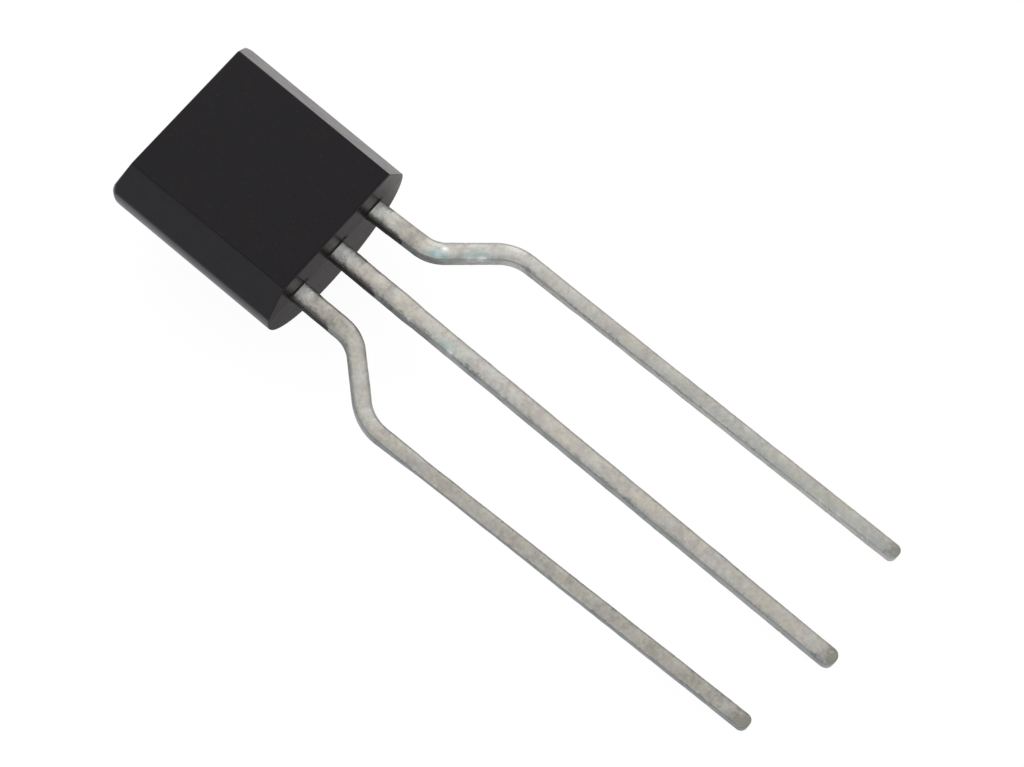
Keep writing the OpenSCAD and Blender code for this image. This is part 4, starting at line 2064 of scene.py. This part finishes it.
@dataclass(frozen=True)
class Studio:
    """A pale table under soft, nearly even light.

    Attributes:
        seen_share: Share of the table's white that the camera sees over its shadows.
        seen_glow: Strength of that white.
        mirrored_glow: Strength that polished things mirror, on the emitter and the base side;
        the weaker emitter side is a painted shadow of the body.
        far_glow: The same far from the package.
        cool: Tint that they mirror on the emitter side.
        warm: Tint that they mirror on the base side.
        across_span: Where the one side passes into the other, in metres.
        far_span: Where the near part of the table passes into the far part.
        end_place: Place on the table under the top end.
        end_shade: Share of the glow that is left there, a painted shadow of the body.
        end_span: Where that shade ends.
        wall_span: Where, up the sky, the walls pass into the ceiling.
        target: What the lamps point at.
    """

    floor_size: float = 1.2
    floor_colour: Colour = (0.80, 0.80, 0.80)
    seen_share: float = 0.9
    seen_glow: float = 1.05
    mirrored_glow: Span = (0.66, 1.05)
    far_glow: float = 0.55
    cool: Colour = (0.94, 0.94, 1.0)
    warm: Colour = (1.0, 0.965, 0.955)
    across_span: Span = (-0.005, 0.004)
    far_span: Span = (0.012, 0.08)
    end_place: Place = (0.0, 0.0046, 0.0)
    end_shade: float = 0.42
    end_span: Span = (0.0021, 0.0030)
    walls: float = 0.72
    ceiling: float = 0.80
    wall_span: Span = (0.15, 0.9)
    lamps: tuple[Lamp, ...] = (
        Lamp("key", (0.13, 0.11, 0.24), 0.15),
        Lamp("side", (-0.20, -0.06, 0.12), 0.05),
    )
    target: Place = (0.0, 0.002, 0.002)

    def _mirrored(self, wiring: Wiring) -> tuple[Socket, Socket]:
        """Works out how polished things mirror the table, with painted shadows of the body and
        more light near the package.

        Args:
            wiring: The wiring of the table's material.

        Returns:
            The strength and the tint.
        """
        place = wiring.place()
        # Painted shadow of the body on the emitter side of the table.
        across = wiring.ramp(wiring.axis(place, "X"), *self.across_span)
        near_glow = wiring.blend(across, *self.mirrored_glow)
        away = wiring.ramp(wiring.distance(place, (0.0, 0.0, 0.0)), *self.far_span)
        # Painted shadow of the body on the table under the top end.
        under = wiring.ramp(wiring.distance(place, self.end_place), *self.end_span)
        shade = wiring.blend(under, self.end_shade, 1.0)
        strength = wiring.times(wiring.blend(away, near_glow, self.far_glow), shade)
        return strength, wiring.mix(across, rgba(self.cool), rgba(self.warm))

    def _floor(self) -> None:
        """Lays the table, which cameras see as white and polished things see with painted shade.
        """
        mesh = bmesh.new()
        bmesh.ops.create_grid(mesh, x_segments=2, y_segments=2, size=self.floor_size / 2)
        material = bpy.data.materials.new("pale table")
        material.use_nodes = True
        wiring = Wiring(material.node_tree)
        matt = wiring.add("ShaderNodeBsdfDiffuse", Color=rgba(self.floor_colour))
        path = wiring.add("ShaderNodeLightPath").outputs
        seen = wiring.times(path["Is Camera Ray"], self.seen_share)
        mirrored = wiring.greater(path["Is Glossy Ray"], path["Is Transmission Ray"])
        strength, tint = self._mirrored(wiring)
        glow = wiring.add(
            "ShaderNodeEmission",
            Color=wiring.mix(mirrored, WHITE, tint),
            Strength=wiring.blend(mirrored, self.seen_glow, strength),
        )
        both = wiring.add("ShaderNodeMixShader")
        shares = (wiring.greater(seen, mirrored), matt.outputs[0], glow.outputs[0])
        for number, value in enumerate(shares):
            wiring.feed(both, number, value)
        wiring.add("ShaderNodeOutputMaterial", Surface=both.outputs[0])
        as_piece("table", mesh, [material])

    def _world(self) -> None:
        """Surrounds the table with soft light that is seen as white."""
        world = bpy.data.worlds.new("soft room")
        world.use_nodes = True
        wiring = Wiring(world.node_tree)
        path = wiring.add("ShaderNodeLightPath").outputs
        seen = wiring.greater(path["Is Camera Ray"], path["Is Transmission Ray"])
        way = wiring.add("ShaderNodeTexCoord").outputs["Generated"]
        height = wiring.ramp(wiring.axis(way, "Z"), *self.wall_span)
        light = wiring.blend(height, self.walls, self.ceiling)
        strength = wiring.blend(seen, light, 1.0)
        room = wiring.add("ShaderNodeBackground", Color=WHITE, Strength=strength)
        wiring.add("ShaderNodeOutputWorld", Surface=room.outputs[0])
        bpy.context.scene.world = world

    def _hang(self, lamp: Lamp) -> None:
        """Hangs one lamp.

        Args:
            lamp: The lamp.
        """
        data = bpy.data.lights.new(lamp.name, "AREA")
        data.shape = "DISK"
        data.size = lamp.size
        data.energy = lamp.power
        hung = bpy.data.objects.new(lamp.name, data)
        hung.location = lamp.place
        sight = Vector(self.target) - Vector(lamp.place)
        hung.rotation_euler = sight.to_track_quat("-Z", "Y").to_euler()
        bpy.context.scene.collection.objects.link(hung)

    def build(self) -> None:
        """Sets up the table, the room and the lamps."""
        bpy.context.scene.view_settings.view_transform = "Standard"
        self._floor()
        self._world()
        for lamp in self.lamps:
            self._hang(lamp)


# --------------------------------------------------------------------- main


def emitter_lead() -> OuterLead:
    """Returns the emitter lead."""
    return OuterLead(
        "emitter_lead",
        root_x=-1.27,
        plate_offset=-0.07,
        side=Side.EMITTER,
        cut_length=14.0,
        leg_lean=-1.7,
        rear_lean=0.45,
        twist_top=12.0,
        twist_tip=3.0,
        patina_and_painted_light=PatinaAndPaintedLight(
            films=(1.05, 0.6),
            dull=(0.15, 0.5),
            tip=1.2,
            roll=0.75,
            smudges=((1.1, 0.25, 0.5), (1.5, 0.2, 0.2)),
        ),
        seed=1.0,
    )


def collector_lead() -> MiddleLead:
    """Returns the collector lead."""
    return MiddleLead(
        "collector_lead",
        coat=0.016,
        cut_length=14.12,
        tip_radius=0.19,
        patina_and_painted_light=PatinaAndPaintedLight(
            films=(1.3, 0.85),
            dull=(0.0, 0.2),
            tip=1.1,
            smudges=((0.8, 0.3, 0.25), (1.45, 0.14, 0.4)),
            # Spots of painted teal reflection round the glints.
            teal_reflections=((0.15, 0.2, 0.25), (3.3, 0.4, 0.7)),
            # Painted glints: small highlights painted on the lead.
            glints=(
                (0.05, -0.35, 0.075, 0.8),
                (2.25, 0.95, 0.04, 0.5),
                (3.42, 0.9, 0.05, 0.9),
                (3.62, 0.7, 0.035, 0.5),
                (4.9, 0.95, 0.05, 0.4),
            ),
        ),
        seed=2.0,
    )


def base_lead() -> OuterLead:
    """Returns the base lead."""
    return OuterLead(
        "base_lead",
        root_x=1.27,
        plate_offset=0.07,
        side=Side.BASE,
        cut_length=14.13,
        root_lean=2.7,
        leg_lean=1.1,
        rear_lean=0.35,
        twist_top=6.0,
        twist_tip=4.0,
        patina_and_painted_light=PatinaAndPaintedLight(
            films=(0.95, 0.5),
            dull=(0.0, 0.2),
            tip=1.2,
            roll=0.92,
            smudges=((1.1, 0.25, 0.5),),
            # Spots of painted teal reflection round the glints and down the leg.
            teal_reflections=((1.74, 0.2, 1.8), (2.6, 0.3, 1.3), (12.0, 4.5, 0.4)),
            # Painted glints: small highlights painted on the lead.
            glints=(
                (1.74, 0.45, 0.06, 0.5),
                (1.88, -0.1, 0.085, 1.0),
                (2.42, 0.9, 0.08, 0.5),
                (2.68, 0.92, 0.11, 1.0),
                (12.1, 0.9, 0.05, 0.35),
                (12.55, 0.85, 0.04, 0.35),
            ),
        ),
        seed=3.0,
    )


def dress_inner_nodes(nodes: dict[str, bpy.types.Object], effects: Effects) -> None:
    """Gives the parts inside the resin their finishes.

    Args:
        nodes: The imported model's nodes by name.
        effects: The shared effects.
    """
    gold = GOLD.material(effects)
    finishes = {
        "die_attach": SOLDER.material(effects),
        "silicon_die": SILICON.material(effects),
        "emitter_bond_wire": gold,
        "base_bond_wire": gold,
    }
    for name, material in finishes.items():
        for slot in nodes[name].material_slots:
            slot.material = material
        log.info("%s: %s", name, material.name)


def main() -> None:
    """Builds the transistor and its studio."""
    logging.basicConfig(level=logging.INFO, format="%(name)s: %(message)s")
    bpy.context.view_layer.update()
    body = EpoxyBody()
    placement = Placement.from_mounts(frame["record"], body.face_depth, body.face_middle)
    effects = Effects()
    skins = {skin: finish.material(effects) for skin, finish in BODY_FINISHES.items()}
    body.build(placement, skins)
    tin = TinFinish().material(effects)
    leads = (emitter_lead(), collector_lead(), base_lead())
    for lead in leads:
        lead.build(placement, tin)
    LeadFlash().build(placement, RESIN_FLASH.material(effects), leads)
    dress_inner_nodes(frame["nodes"], effects)
    StudioCamera().build(placement)
    Studio().build()


if __name__ == "__main__":
    main()
